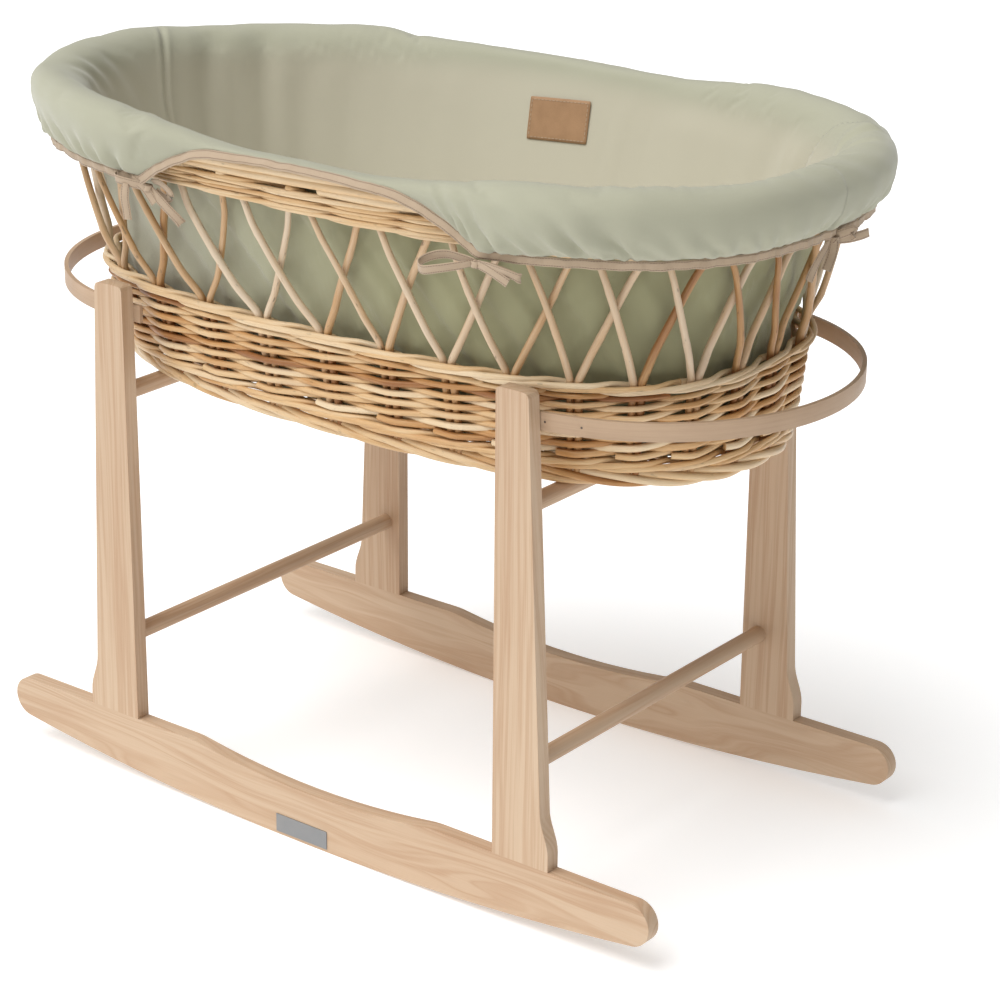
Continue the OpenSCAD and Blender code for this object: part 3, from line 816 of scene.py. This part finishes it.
def liner_control(t):
    """The section's control points at each angle, as (columns, points, 2) in metres."""
    cuff, notch = np.array(CUFF_SECTION, float), np.array(NOTCH_SECTION, float)
    index = np.arange(len(cuff))
    # The crest sinks into the notch slowly, and the hem climbs to the rim quickly.
    slow_inner, slow_outer = 9.0, 36.0
    quick = hump(index - HEM_POINT, 4.5)
    inner = slow_inner + (NOTCH_RIM - slow_inner) * quick
    outer = slow_outer + (NOTCH_HEM - slow_outer) * quick
    share = np.stack([notch_share(t, a, b, q) for a, b, q in zip(inner, outer, quick)], 1)[..., None]
    mixed = cuff[None] * (1 - share) + notch[None] * share
    # The cuff is a little lower at the back of the foot end.
    lower = 6.5 * hump(turned_from(t, 60), 30)
    mixed[..., 1] -= lower[:, None] * smooth(mixed[..., 1], 200, 290)
    # Between the head end and the rear notch its crest is lower too, but not below the notch's crest.
    room = mixed[..., 1].max(1) - notch[:, 1].max()
    flatter = np.minimum(13 * hump(turned_from(t, 134), 33, 4), room)
    mixed[..., 1] -= flatter[:, None] * smooth(mixed[..., 1], 200, 290) * (index <= HEM_POINT)
    return mixed * MM + np.array([0, LINER_LOW])


def crest_way(t):
    """The distance round the crest up to an angle."""
    return np.interp(np.asarray(t, float) % 360, DEGREES, CREST_WAY)


def apart(way, other):
    """The signed distance round the crest from one place to another, the short way."""
    half = CREST_WAY[-1] / 2
    return (way - other + half) % (2 * half) - half


# Gathers along the hem: from and to in degrees, how many, depth and height in millimetres, slant.
GATHERS = [
    (218, 246, 13, 5.4, 30, -0.3),
    (298, 326, 16, 5.4, 40, -0.8),
    (326, 352, 9, 2.4, 26, -0.5),
    (352, 395, 13, 3.2, 26, 0.2),
    (45, 66, 10, 4.0, 28, 0.4),
    (122, 150, 11, 4.0, 28, -0.4),
    (150, 220, 20, 3.0, 24, 0.1),
]

# Creases in the liner: (angle, control point of the section) along each, half width and depth in millimetres.
CREASES = [
    ([(179, 0.6), (178, 4.0), (174, 7.0), (170, 9.2)], 4.5, 3.0),
    ([(184, 1.5), (188, 4.5), (196, 7.4)], 15, 2.4),
    ([(189, 2.5), (196, 5.0), (204, 7.8)], 13, 2.4),
    ([(194, 3.5), (203, 5.5), (211, 8.2)], 12, 2.2),
    ([(165, 2.0), (162, 5.0), (159, 8.0)], 18, 3.0),
    ([(148, 2.0), (147, 8.0)], 16, 2.4),
    ([(24, 5.2), (29, 7.6), (31, 9.6)], 8, 3.0),
    ([(14, 5.0), (19, 7.6), (22, 9.4)], 8, 2.6),
    ([(5, 5.4), (8, 7.6), (11, 9.0)], 8, 2.2),
]
# The tuck at the foot end, where one length of cloth laps over the other.
TUCK = [(44, 3.6), (42, 4.8), (40, 5.8), (38, 7.8), (33, 9.7)]


def furrow(gap, width, raised, beside):
    """A valley, 1 deep in its middle, with the cloth raised a little along both sides of it."""
    return hump(gap, width) - raised * hump(np.abs(gap) - beside * width, width)


def pleats(way, height, hem):
    """Small gathers that run up from the hem: narrow valleys that open out and fade."""
    dice = np.random.RandomState(5)
    total = np.zeros(np.broadcast(way, height).shape)
    up = np.maximum(height - hem, 0)
    for first, last, number, deep, tall, slant in GATHERS:
        for k in range(number):
            angle = first + (last - first) * (k + dice.uniform(-0.3, 1.3)) / number
            lean = slant + dice.uniform(-0.3, 0.3)
            width = dice.uniform(2.4, 4.2) * MM * (1 + up / (16 * MM))
            reach = tall * MM * dice.uniform(0.5, 1.25)
            gap = apart(way, crest_way(angle) + lean * up)
            total -= deep * MM * dice.uniform(0.3, 1.2) * furrow(gap, width, 0.5, 2.0) * hump(up, reach)
    return total * (0.25 + 0.75 * smooth(up, 1 * MM, 7 * MM))


def path_gap(way, where, path):
    """The distance round from a crease, and how far each point lies within the crease's length."""
    angles, points = zip(*path)
    middle = np.interp(where, points, np.interp(angles, DEGREES, CREST_WAY))
    inside = between(where, points[0] - 0.9, points[0] + 0.6, points[-1] - 0.6, points[-1] + 0.7)
    return apart(way, middle), inside


def creases(way, where):
    """The creases, and the step in the cloth at its tuck."""
    total = np.zeros(np.broadcast(way, where).shape)
    for path, width, depth in CREASES:
        gap, inside = path_gap(way, where, path)
        total -= depth * MM * inside * furrow(gap, width * MM, 0.4, 1.8)
    gap, inside = path_gap(way, where, TUCK)
    lap = np.where(gap < 0, 5.0 * MM * np.exp(gap / (26 * MM)), -4.0 * MM * np.exp(-gap / (9 * MM)))
    return total + inside * lap


SWELLING = {
    "quality": 4, "mass": 0.2, "tension_stiffness": 12, "compression_stiffness": 6, "shear_stiffness": 4,
    "bending_stiffness": 1.2, "vertex_group_mass": "sewn", "use_pressure": True,
    "uniform_pressure_force": 5, "shrink_min": -0.006,
}
SWELLING_FRAMES = 20
SWELLING_CAP = 2 * MM


def settle(grid, loose):
    """Swells the cloth by a cloth simulation on every second column; loose is 1 where free, 0 where sewn."""
    columns, rows = grid.shape[:2]
    thin = grid[::2]
    mesh = bpy.data.meshes.new("swelling")
    faces = grid_faces(columns // 2, rows, rows_close=True).tolist()
    mesh.from_pydata([tuple(p) for p in thin.reshape(-1, 3)], [], faces)
    work = bpy.data.objects.new("swelling", mesh)
    bpy.context.scene.collection.objects.link(work)
    sewn = work.vertex_groups.new(name="sewn")
    for index, share in enumerate(loose[::2].ravel()):
        sewn.add([index], 1.0 - float(share), "REPLACE")
    modifier = work.modifiers.new("cloth", "CLOTH")
    for key, value in SWELLING.items():
        setattr(modifier.settings, key, value)
    modifier.settings.effector_weights.gravity = 0
    modifier.collision_settings.use_collision = False
    scene = bpy.context.scene
    for number in range(SWELLING_FRAMES):
        scene.frame_set(number + 1)
    made = work.evaluated_get(bpy.context.evaluated_depsgraph_get()).data
    after = np.zeros(len(made.vertices) * 3)
    made.vertices.foreach_get("co", after)
    bpy.data.objects.remove(work)
    scene.frame_set(1)
    move = after.reshape(thin.shape) - thin
    size = np.linalg.norm(move, axis=-1, keepdims=True)
    move *= np.minimum(1, SWELLING_CAP / np.maximum(size, 1e-9))
    full = np.empty_like(grid)
    full[::2] = move
    full[1::2] = (move + np.roll(move, -1, 0)) / 2
    return grid + full


def liner_push(grid, way, where, t, control, height):
    """How far each point of the liner is pushed out or in by its gathers, creases, swells and folds."""
    is_cuff, t = cuff_share(t), t[:, None]
    in_cuff = between(where, 5.5, 8.0, HEM_POINT, HEM_POINT + 1.2)
    on_flap = between(where, 9.5, 12.0, HEM_POINT + 0.2, HEM_POINT + 1.2)
    hem = control[:, HEM_POINT, 1][:, None]
    push = on_flap * is_cuff * pleats(way, height, hem)
    push = push + creases(way, where[None])
    push = push + in_cuff * (
        wander(way * 25 + where * 0.5, 1.3 * MM, 3) + wander(way * 73 - where * 0.9, 0.6 * MM, 4)
    ) * (0.35 + 0.65 * is_cuff)
    # Soft puckers where the cloth turns over the crest, most of them at the front of the foot end.
    over = hump(where - 8.2, 1.4) * is_cuff
    patchy = smooth(wander(way * 14, 1.0, 9), -0.4, 0.7)
    creased = 0.15 + 0.85 * hump(t - 330, 42, 4)
    push = push + over * wander(way * 250 + where * 1.2, 0.8 * MM, 8) * patchy * creased
    # The inner face swells gently between its seams, but lies flat behind the label.
    inside = between(where, 0.6, 2.0, 4.5, 6.5)
    swell = wander(way * 16, 1.6 * MM, 12) + wander(way * 52 + where * 0.2, 1.0 * MM, 13)
    label = sum(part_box("liner_label"), Vector()) / 2
    sewn_down = hump(grid[..., 0] - label.x, 75 * MM, 4) * (grid[..., 1] > 0)
    push = push + inside * np.clip(swell, -0.8 * MM, 3 * MM) * (1 - sewn_down)
    # The outer face hangs in soft slanting folds, none deep enough to reach the inner face.
    outside = between(where, 24.0, 25.5, 30.2, 31.0)
    fold = np.tanh(wander(way * 48 + (height - WALL_TOP) * 40, 1.0, 14, 6, 0.5, 1.6) * 3.2)
    crossing = np.tanh(np.abs(wander(way * 56 - (height - WALL_TOP) * 60, 1.0, 15)) * 2.4)
    push = push + outside * (-2.7 * MM + 2.6 * MM * fold - 2.2 * MM * crossing)
    # The cuff is slimmer under the head end.
    return push - 6 * MM * hump(t - 200, 36, 4) * hump(where - 14.3, 1.9)


def make_liner():
    """One sewn, padded liner: its inner face, the rolled cuffs and the face that shows through the stakes."""
    coarse, cuff_spacing = 8 * MM, 3.8 * MM
    way = np.arange(COLUMNS) * CREST_WAY[-1] / COLUMNS
    t = np.interp(way, CREST_WAY, DEGREES)
    control = liner_control(t)
    lengths = np.linalg.norm(np.roll(control, -1, 1) - control, axis=2).max(0)
    spacing = np.full(len(lengths), coarse)
    spacing[FIRST_CUFF_POINT:HEM_POINT] = cuff_spacing
    steps = [max(2, int(round(a / b))) for a, b in zip(lengths, spacing)]
    weights = spline_weights(len(steps), steps, closed=True)
    section = np.einsum("mk,ckx->cmx", weights, control)
    where = np.concatenate([i + np.arange(n) / n for i, n in enumerate(steps)])
    grid = on_basket(t[:, None], section[..., 0], section[..., 1])
    outward = vertex_normals(grid)
    if (outward[0, 0] * grid[0, 0]).sum() > 0:
        outward = -outward
    round_it, height = np.broadcast_arrays(way[:, None], section[..., 1])
    push = liner_push(grid, round_it, where, t, control, height)
    grid = grid + outward * push[..., None]
    rows = slice(int(np.argmax(where >= 5.0)), int(np.argmax(where >= HEM_POINT + 0.6)))
    free = between(where[rows], 5.2, 7.0, HEM_POINT - 1.1, HEM_POINT - 0.2)
    grid[:, rows] = settle(grid[:, rows], free[None] * (0.05 + 0.95 * cuff_share(t)))
    # Painted shade on the cloth behind the rods, deepest on the front of the foot end.
    shade_behind_rods = smooth(np.cos(np.radians(t - 335)), -0.2, 0.8)
    far = np.concatenate([[0], np.cumsum(np.linalg.norm(np.diff(section[0], axis=0), axis=1))])
    cloth_place = np.stack(np.broadcast_arrays(way[:, None], far[None], 0.0), -1)
    faces = grid_faces(COLUMNS, len(where), rows_close=True, columns_close=True).tolist()
    liner = add_object(
        "padded_liner", grid.reshape(-1, 3), faces, "bassinet", COTTON,
        {
            "grain": cloth_place.reshape(-1, 3),
            # inner marks where painted light pales the inside face, outer where painted shade darkens the
            # face behind the rods.
            "inner": np.tile(between(where, 0, 0.5, 5.0, 7.5), COLUMNS),
            "outer": (smooth(where, 19.5, 22.0)[None] * shade_behind_rods[:, None]).ravel(),
        },
    )
    liner.data.flip_normals()
    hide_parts("liner_wall", "liner_cuff_head", "liner_cuff_foot")


# ---- bindings, bows and label


def flat_section(width, thick):
    """A flat band with rounded edges: offsets through its thickness and across its width."""
    a, b = thick / 2, width / 2
    edge = b * 0.1
    return np.array([
        (a, -b + edge), (a, -b / 3), (a, b / 3), (a, b - edge), (a * 0.3, b),
        (-a * 0.3, b), (-a, b - edge), (-a, 0), (-a, -b + edge), (-a * 0.3, -b), (a * 0.3, -b),
    ])


def binding(name, start, end, node):
    """The tape over the liner's edge between two angles about the liner's middle line."""
    spacing, thick, off_hem, off_rim, tuck = 0.3, 2.2 * MM, 0.6 * MM, 1.2 * MM, 4.4 * MM
    t = np.linspace(start, end, int(abs(end - start) / spacing) + 1) + LINER_TURN
    edge = liner_control(t)[:, HEM_POINT]
    share = notch_share(t, NOTCH_RIM - 1, NOTCH_HEM + 1)
    top = notch_share(t, 3, 15)
    ripple = (1 - share) * (wander(t * 0.9, 0.7 * MM, 31) + wander(t * 2.6, 0.4 * MM, 32))
    d = edge[:, 0] + off_hem + off_rim * share + ripple
    z = edge[:, 1] + wander(t * 1.1, 0.4 * MM, 33)
    line = on_basket(t, d, z)
    further = on_basket(t, d + 10 * MM, z)
    tilt = np.radians(-4 + 34 * share + 20 * top + (1 - share) * wander(t * 2.0, 5.0, 34))[:, None]
    out = unit(further - line) * np.cos(tilt) + np.array([0, 0, 1.0]) * np.sin(tilt)
    # The tape lies beside the cloth's edge: under it along the hem, within the notch up its slopes.
    beside = unit(np.cross(out, unit(np.gradient(line, axis=0))))
    beside *= -np.sign(beside[:, 2:])
    line = line + beside * (tuck * (1 - top))[:, None]
    band = Sweep()
    band.add(line, flat_section(TAPE_W, thick), out, 0.5)
    band.made(name, "bassinet", "bias_tape", TAPE, node)


def make_bindings():
    """A tape along each hem and over each handle notch."""
    reach = 90 - NOTCH_RIM
    binding("tape_hem_head", 180 - reach, 180 + reach, "hem_binding_head")
    binding("tape_hem_foot", -reach, reach, "hem_binding_foot")
    binding("tape_notch_front", 180 + reach, 360 - reach, "notch_binding_front")
    binding("tape_notch_rear", reach, 180 - reach, "notch_binding_rear")


# Lengths of tape in a bow, as points and the way the tape's width faces at its start and end.
# All are (to the right, outward, up) in millimetres from the hem.
LEFT_LOOP = (
    [(0, 5, -13), (-14, 12, -16), (-34, 18, -20), (-52, 16, -24), (-60, 7, -21), (-52, 0, -15),
     (-34, -1, -10), (-14, 2, -11), (0, 4, -13)],
    (0, 0.3, 0.95), (0.2, 0.3, 0.93),
)
RIGHT_LOOP = (
    [(3, 5, -13), (19, 11, -13), (37, 13, -16), (50, 9, -21), (47, 2, -23), (30, 0, -19), (12, 2, -15)],
    (0, 0.4, 0.92), (0.2, 0.4, 0.9),
)
RIGHT_TAIL = ([(2, 6, -13), (14, 10, -15), (27, 12, -20), (40, 12, -27)], (0.35, 0.2, 0.92), (0.4, 0.1, 0.9))
DOWN_TAIL = ([(-13, 7, -8), (-14, 9, -22), (-13, 8, -36), (-12, 7, -48)], (1, 0, 0.05), (1, 0.1, 0))
LOW_LOOP = (
    [(14, 5, -10), (26, 9, -20), (39, 11, -31), (50, 9, -42), (49, 3, -47), (38, 1, -38), (22, 2, -20)],
    (0.75, 0.0, 0.65), (0.75, 0.0, 0.65),
)
WRAP = ([(12, 4, -10), (0, 7, -8), (-16, 6, -6), (-28, 1, -5), (-31, -8, -5)], (0, 0.2, 1), (0, 0.3, 1))
CURL = ([(-7, 5, -2), (2, 7, -6), (11, 7, -13), (22, 9, -26)], (0.9, 0.1, 0.4), (0.9, 0.1, 0.4))
SMALL_LOOP = (
    [(17, 3, -4), (28, 7, -4), (39, 7, -13), (34, 3, -21), (20, 2, -15)],
    (0.3, 0.6, 0.7), (0.5, 0.2, 0.8),
)
OUT_TAIL = ([(3, 5, -11), (13, 13, -11), (25, 21, -9), (33, 25, -7)], (0, 0, 1), (0.1, 0.1, 1))
OUT_LOOP = (
    [(1, 4, -8), (8, 12, -4), (15, 18, -2), (15, 15, -9), (4, 6, -12)],
    (0.2, 0.3, 0.9), (0.2, 0.3, 0.9),
)
BACK_TAIL = ([(-4, 3, -10), (-14, 0, -22), (-25, -3, -37), (-33, -4, -49)], (0.8, 0.2, 0.5), (0.8, 0.2, 0.5))
THIN_TAIL = ([(-3, 6, -10), (-7, 7, -24), (-16, 6, -40)], (0.5, 0.8, 0.2), (0.6, 0.7, 0.3))

# Each bow: its angle about the basket, how far it is turned, its knot and its lengths of tape.
BOWS = [
    (247.5, 26, (13, 5, -11), [WRAP, DOWN_TAIL, CURL, LOW_LOOP, SMALL_LOOP]),
    (299.5, 0, (2, 5, -14), [LEFT_LOOP, RIGHT_LOOP, RIGHT_TAIL]),
    (363, 0, (0, 5, -11), [OUT_TAIL, OUT_LOOP, BACK_TAIL, THIN_TAIL]),
    (67, 0, (2, 5, -14), [LEFT_LOOP, RIGHT_LOOP, RIGHT_TAIL, DOWN_TAIL]),
    (121, 0, (2, 5, -14), [LEFT_LOOP, RIGHT_LOOP, DOWN_TAIL, BACK_TAIL]),
    (184, 0, (2, 5, -14), [LEFT_LOOP, RIGHT_LOOP, RIGHT_TAIL, BACK_TAIL]),
]


def make_bows():
    """The six tied bows of bias tape, each with two turns of tape about its knot."""
    outward, up = 18 * MM, np.array([0, 0, 1.0])
    width, thick, knot_width, knot_thick = 10.4 * MM, 1.1 * MM, 7.5 * MM, 1.2 * MM
    turn = np.linspace(0, 2.1 * math.pi, 26)
    # How far each turn about the knot is tipped, in radians, and its radius in millimetres.
    knot_turns = ((0.0, 4.4), (1.1, 3.8))
    sweep = Sweep()
    for angle, turned, knot, lengths in BOWS:
        base = on_basket(angle, outward, HEM_Z)
        right = unit(on_basket(angle + 0.5, outward, HEM_Z) - base)
        turned = math.radians(turned)
        right = right * math.cos(turned) + np.cross(up, right) * math.sin(turned)
        axes = np.stack([right, np.cross(right, up), up])
        for points, first, last in lengths:
            route = flowing(np.array(points, float) * MM, 1.6 * MM)
            share = np.linspace(0, 1, len(route))[:, None]
            across = np.array(first) * (1 - share) + np.array(last) * share
            line, across = base + route @ axes, across @ axes
            face = np.cross(across, np.gradient(line, axis=0))
            # The tape is drawn narrow where it leaves the knot.
            wide = width * (1 - 0.35 * hump(share[:, 0], 0.1))
            section = flat_section(1.0, thick)[None] * np.stack([np.ones(len(line)), wide], -1)[:, None]
            sweep.add(line, section, face, 0.5)
        middle = base + np.array(knot) * MM @ axes
        for tilt, size in knot_turns:
            ahead = size * np.sin(turn)
            ring = np.stack([ahead * math.cos(tilt), -0.8 * size * np.cos(turn), ahead * math.sin(tilt)], -1)
            line = base + (ring + knot) * MM @ axes
            sweep.add(line, flat_section(knot_width, knot_thick), line - middle, 0.5)
    sweep.made("tape_bows", "bassinet", "bias_tape", TAPE, "tie_bows")


def make_label():
    """The blank label sewn on the rear inner face, with its row of stitches."""
    low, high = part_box("liner_label")
    middle = (low + high) / 2
    wide, tall = high.x - low.x, high.z - low.z
    tilt = math.radians(4)
    c, s = math.cos(tilt), math.sin(tilt)
    half_w = (wide * c - tall * s) / (c * c - s * s) / 2
    half_h = (tall * c - wide * s) / (c * c - s * s) / 2
    across, up = 25, 15
    ground, thick, rounding = -31.3 * MM, 1.0 * MM, 0.25 * MM
    rear = np.linspace(60, 120, 241)

    def at(u, v, lift):
        """The point u along the label and v up it from its middle, lift metres off the cloth."""
        x, z = middle.x + u * c - v * s, middle.z + u * s + v * c
        line = on_basket(rear, ground - lift, z)
        return np.array([x, np.interp(x, line[::-1, 0], line[::-1, 1]), z])

    points = []
    for layer in (thick, 0.0):
        for j in range(up):
            for i in range(across):
                u, v = 2 * i / (across - 1) - 1, 2 * j / (up - 1) - 1
                corner = 1 - 0.012 * (u * u * v * v) ** 3
                roll = rounding * (max(abs(u), abs(v)) > 0.999)
                points.append(at(half_w * u * corner, half_h * v * corner, max(layer - roll, 0)))
    size = across * up
    front = grid_faces(up, across)
    faces = np.stack([front, front[:, [0, 3, 2, 1]] + size], 1).reshape(-1, 4).tolist()
    index = np.arange(size).reshape(up, across)
    rim = [*index[0], *index[1:, -1], *index[-1, -2::-1], *index[-2:0:-1, 0]]
    for a, b in zip(rim, rim[1:] + rim[:1]):
        faces.append([a, a + size, b + size, b])
    label = add_object("leather_label", points, faces, "bassinet", LABEL)
    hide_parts("liner_label")
    stitches = Sweep()
    inset, length, gap, thread_r, proud = 3 * MM, 3.2 * MM, 5.2 * MM, 0.42 * MM, 0.15 * MM
    w, h = half_w - inset, half_h - inset
    sides = ((-w, -h, 1, 0, 2 * w), (-w, h, 1, 0, 2 * w), (-w, -h, 0, 1, 2 * h), (w, -h, 0, 1, 2 * h))
    for x0, z0, dx, dz, side in sides:
        for k in range(int(side / gap)):
            ends = [(k + 0.5) * gap, (k + 0.5) * gap + length / 2, (k + 0.5) * gap + length]
            line = [at(x0 + dx * e, z0 + dz * e, thick + proud) for e in ends]
            stitches.cane(line, thread_r, 0.5, 6, out=(0, -1, 0))
    stitches.made("label_stitches", "bassinet", "bias_tape", TAPE)


# ---- the mattress


def make_mattress():
    """A crowned pad with a piped edge and soft channels across it."""
    low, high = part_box("mattress")
    half_x, half_y = high.x, high.y
    power, around, soft = 2.6, 220, 12 * MM
    crown_top, crown_under, channel_deep, channel_gap = 3.2 * MM, 0.4 * MM, 2.6 * MM, 62 * MM
    piping_in, piping_r, piping_tuck = 5 * MM, 1.9 * MM, 4.0 * MM
    thick = high.z - low.z
    c, s, q = superellipse(np.arange(around) * 2 * math.pi / around, power)
    # Rings from the middle of the underside, round the edge, to the middle of the top.
    inmost, outmost, flat_rings, edge_rings = 0.03, 0.93, 26, 9
    rings = [(share, low.z, -1) for share in np.linspace(inmost, outmost, flat_rings)]
    for k in range(edge_rings):
        turn = math.pi * k / (edge_rings - 1) - math.pi / 2
        inset = soft * (1 - math.cos(turn))
        rings.append((1 - inset / half_y, low.z + thick / 2 + (thick / 2) * math.sin(turn), 0))
    rings += [(share, high.z, 1) for share in np.linspace(outmost, inmost, flat_rings)]
    points = []
    for share, z, face in rings:
        x, y = half_x * c / q * share, half_y * s / q * share
        lift = np.zeros(around)
        if face:
            channel = np.abs(np.sin(math.pi * x / channel_gap))
            crown = (1 - share ** 4) * (crown_top if face > 0 else crown_under)
            lift = face * (crown - (channel_deep if face > 0 else 0.0) * hump(channel, 0.16))
        points.append(np.stack([x, y, np.full(around, z) + lift], -1))
    count = len(points)
    points = np.concatenate(points)
    faces = grid_faces(count, around, columns_close=True).tolist()
    faces.append(list(range(around - 1, -1, -1)))
    faces.append([(count - 1) * around + i for i in range(around)])
    pad = add_object(
        "padded_mattress", points, faces, "mattress_pad", COVER,
        {"grain": points},
    )
    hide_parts("mattress")
    piping = Sweep()
    c, s, q = superellipse(np.linspace(0, 2 * math.pi, 241), power)
    for level in (high.z - piping_in, low.z + piping_in):
        x, y = (half_x - piping_tuck) * c / q, (half_y - piping_tuck) * s / q
        piping.cane(np.stack([x, y, np.full(len(c), level)], -1), piping_r, 0.5, 8)
    piping.made("mattress_piping", "mattress_pad", "mattress_cover", COVER)


# ---- floor, light and camera


FLOOR_HALF = 12.0
FLOOR_GLOW = 0.32
FLOOR_COLOURS = ((0.87, 0.875, 0.88, 1.0), (0.85, 0.855, 0.86, 1.0))
# The sky is brightest towards one side, and its strength fades with the turn away from there.
SKY_COLOUR = (1.0, 0.998, 0.99, 1.0)
SKY_BRIGHTEST = (-0.36, -0.36, 0.86)
SKY_FADE = {"From Min": -0.35, "From Max": 1.0, "To Min": 0.05, "To Max": 0.8}
SUN_STRENGTH = 2.25
SUN_SOFTNESS = 50
SUN_WAY = Vector((0.22, 0.45, -0.87))


def make_stage():
    """A plain pale floor, a soft room and one very soft lamp."""
    g = Graph("studio_floor", 0.9, Specular_IOR_Level=0.1)
    mottle = g.noise(g.place(), (3, 3, 3), 2.0)
    g.shader.inputs["Emission Strength"].default_value = FLOOR_GLOW
    g.shader.inputs["Emission Color"].default_value = (1.0, 1.0, 1.0, 1.0)
    g.finish(g.mix(mottle, *FLOOR_COLOURS))
    half = FLOOR_HALF
    corners = [(-half, -half, 0), (half, -half, 0), (half, half, 0), (-half, half, 0)]
    mesh = bpy.data.meshes.new("floor")
    mesh.from_pydata(corners, [], [(0, 1, 2, 3)])
    mesh.materials.append(g.material)
    floor = bpy.data.objects.new("floor", mesh)
    bpy.context.scene.collection.objects.link(floor)

    # A pale room, brightest overhead and a little brighter to the left and front.
    world = bpy.data.worlds.new("studio")
    world.use_nodes = True
    tree = world.node_tree
    sky = tree.nodes["Background"]
    sky.inputs["Color"].default_value = SKY_COLOUR
    facing = tree.nodes.new("ShaderNodeVectorMath")
    facing.operation = "DOT_PRODUCT"
    facing.inputs[1].default_value = SKY_BRIGHTEST
    fade = tree.nodes.new("ShaderNodeMapRange")
    for socket, value in SKY_FADE.items():
        fade.inputs[socket].default_value = value
    tree.links.new(tree.nodes.new("ShaderNodeTexCoord").outputs["Generated"], facing.inputs[0])
    tree.links.new(facing.outputs["Value"], fade.inputs["Value"])
    tree.links.new(fade.outputs[0], sky.inputs["Strength"])
    bpy.context.scene.world = world

    key = bpy.data.lights.new("key", "SUN")
    key.energy = SUN_STRENGTH
    key.angle = math.radians(SUN_SOFTNESS)
    light = bpy.data.objects.new("key", key)
    light.rotation_euler = SUN_WAY.to_track_quat("-Z", "Y").to_euler()
    bpy.context.scene.collection.objects.link(light)


# The camera, in metres, degrees and millimetres.
CAMERA_PLACE = Vector((1.986, -2.467, 1.571))
CAMERA_TURN = 37.71
CAMERA_DROP = 21.14
CAMERA_ROLL = 0.51
LENS = 105.5
SENSOR = 36


def make_camera():
    """The camera at the photograph's viewing angle."""
    data = bpy.data.cameras.new("camera")
    data.lens = LENS
    data.sensor_width = SENSOR
    data.clip_end = 60
    camera = bpy.data.objects.new("camera", data)
    turn = Matrix.Rotation(math.radians(CAMERA_TURN), 4, "Z")
    drop = Matrix.Rotation(math.radians(90 - CAMERA_DROP), 4, "X")
    roll = Matrix.Rotation(math.radians(CAMERA_ROLL), 4, "Z")
    camera.matrix_world = Matrix.Translation(CAMERA_PLACE) @ turn @ drop @ roll
    bpy.context.scene.collection.objects.link(camera)
    bpy.context.scene.camera = camera
    bpy.context.scene.view_settings.view_transform = "Standard"


make_stage()
make_camera()
dress_stand()
make_foot_border()
make_wall()
make_wale()
make_stakes("willow_stakes_outer", -1, "outer_stakes")
make_stakes("willow_stakes_inner", 1, "inner_stakes")
make_rim_weave()
make_rim_border()
make_base()
make_liner()
make_bindings()
make_bows()
make_label()
make_mattress()
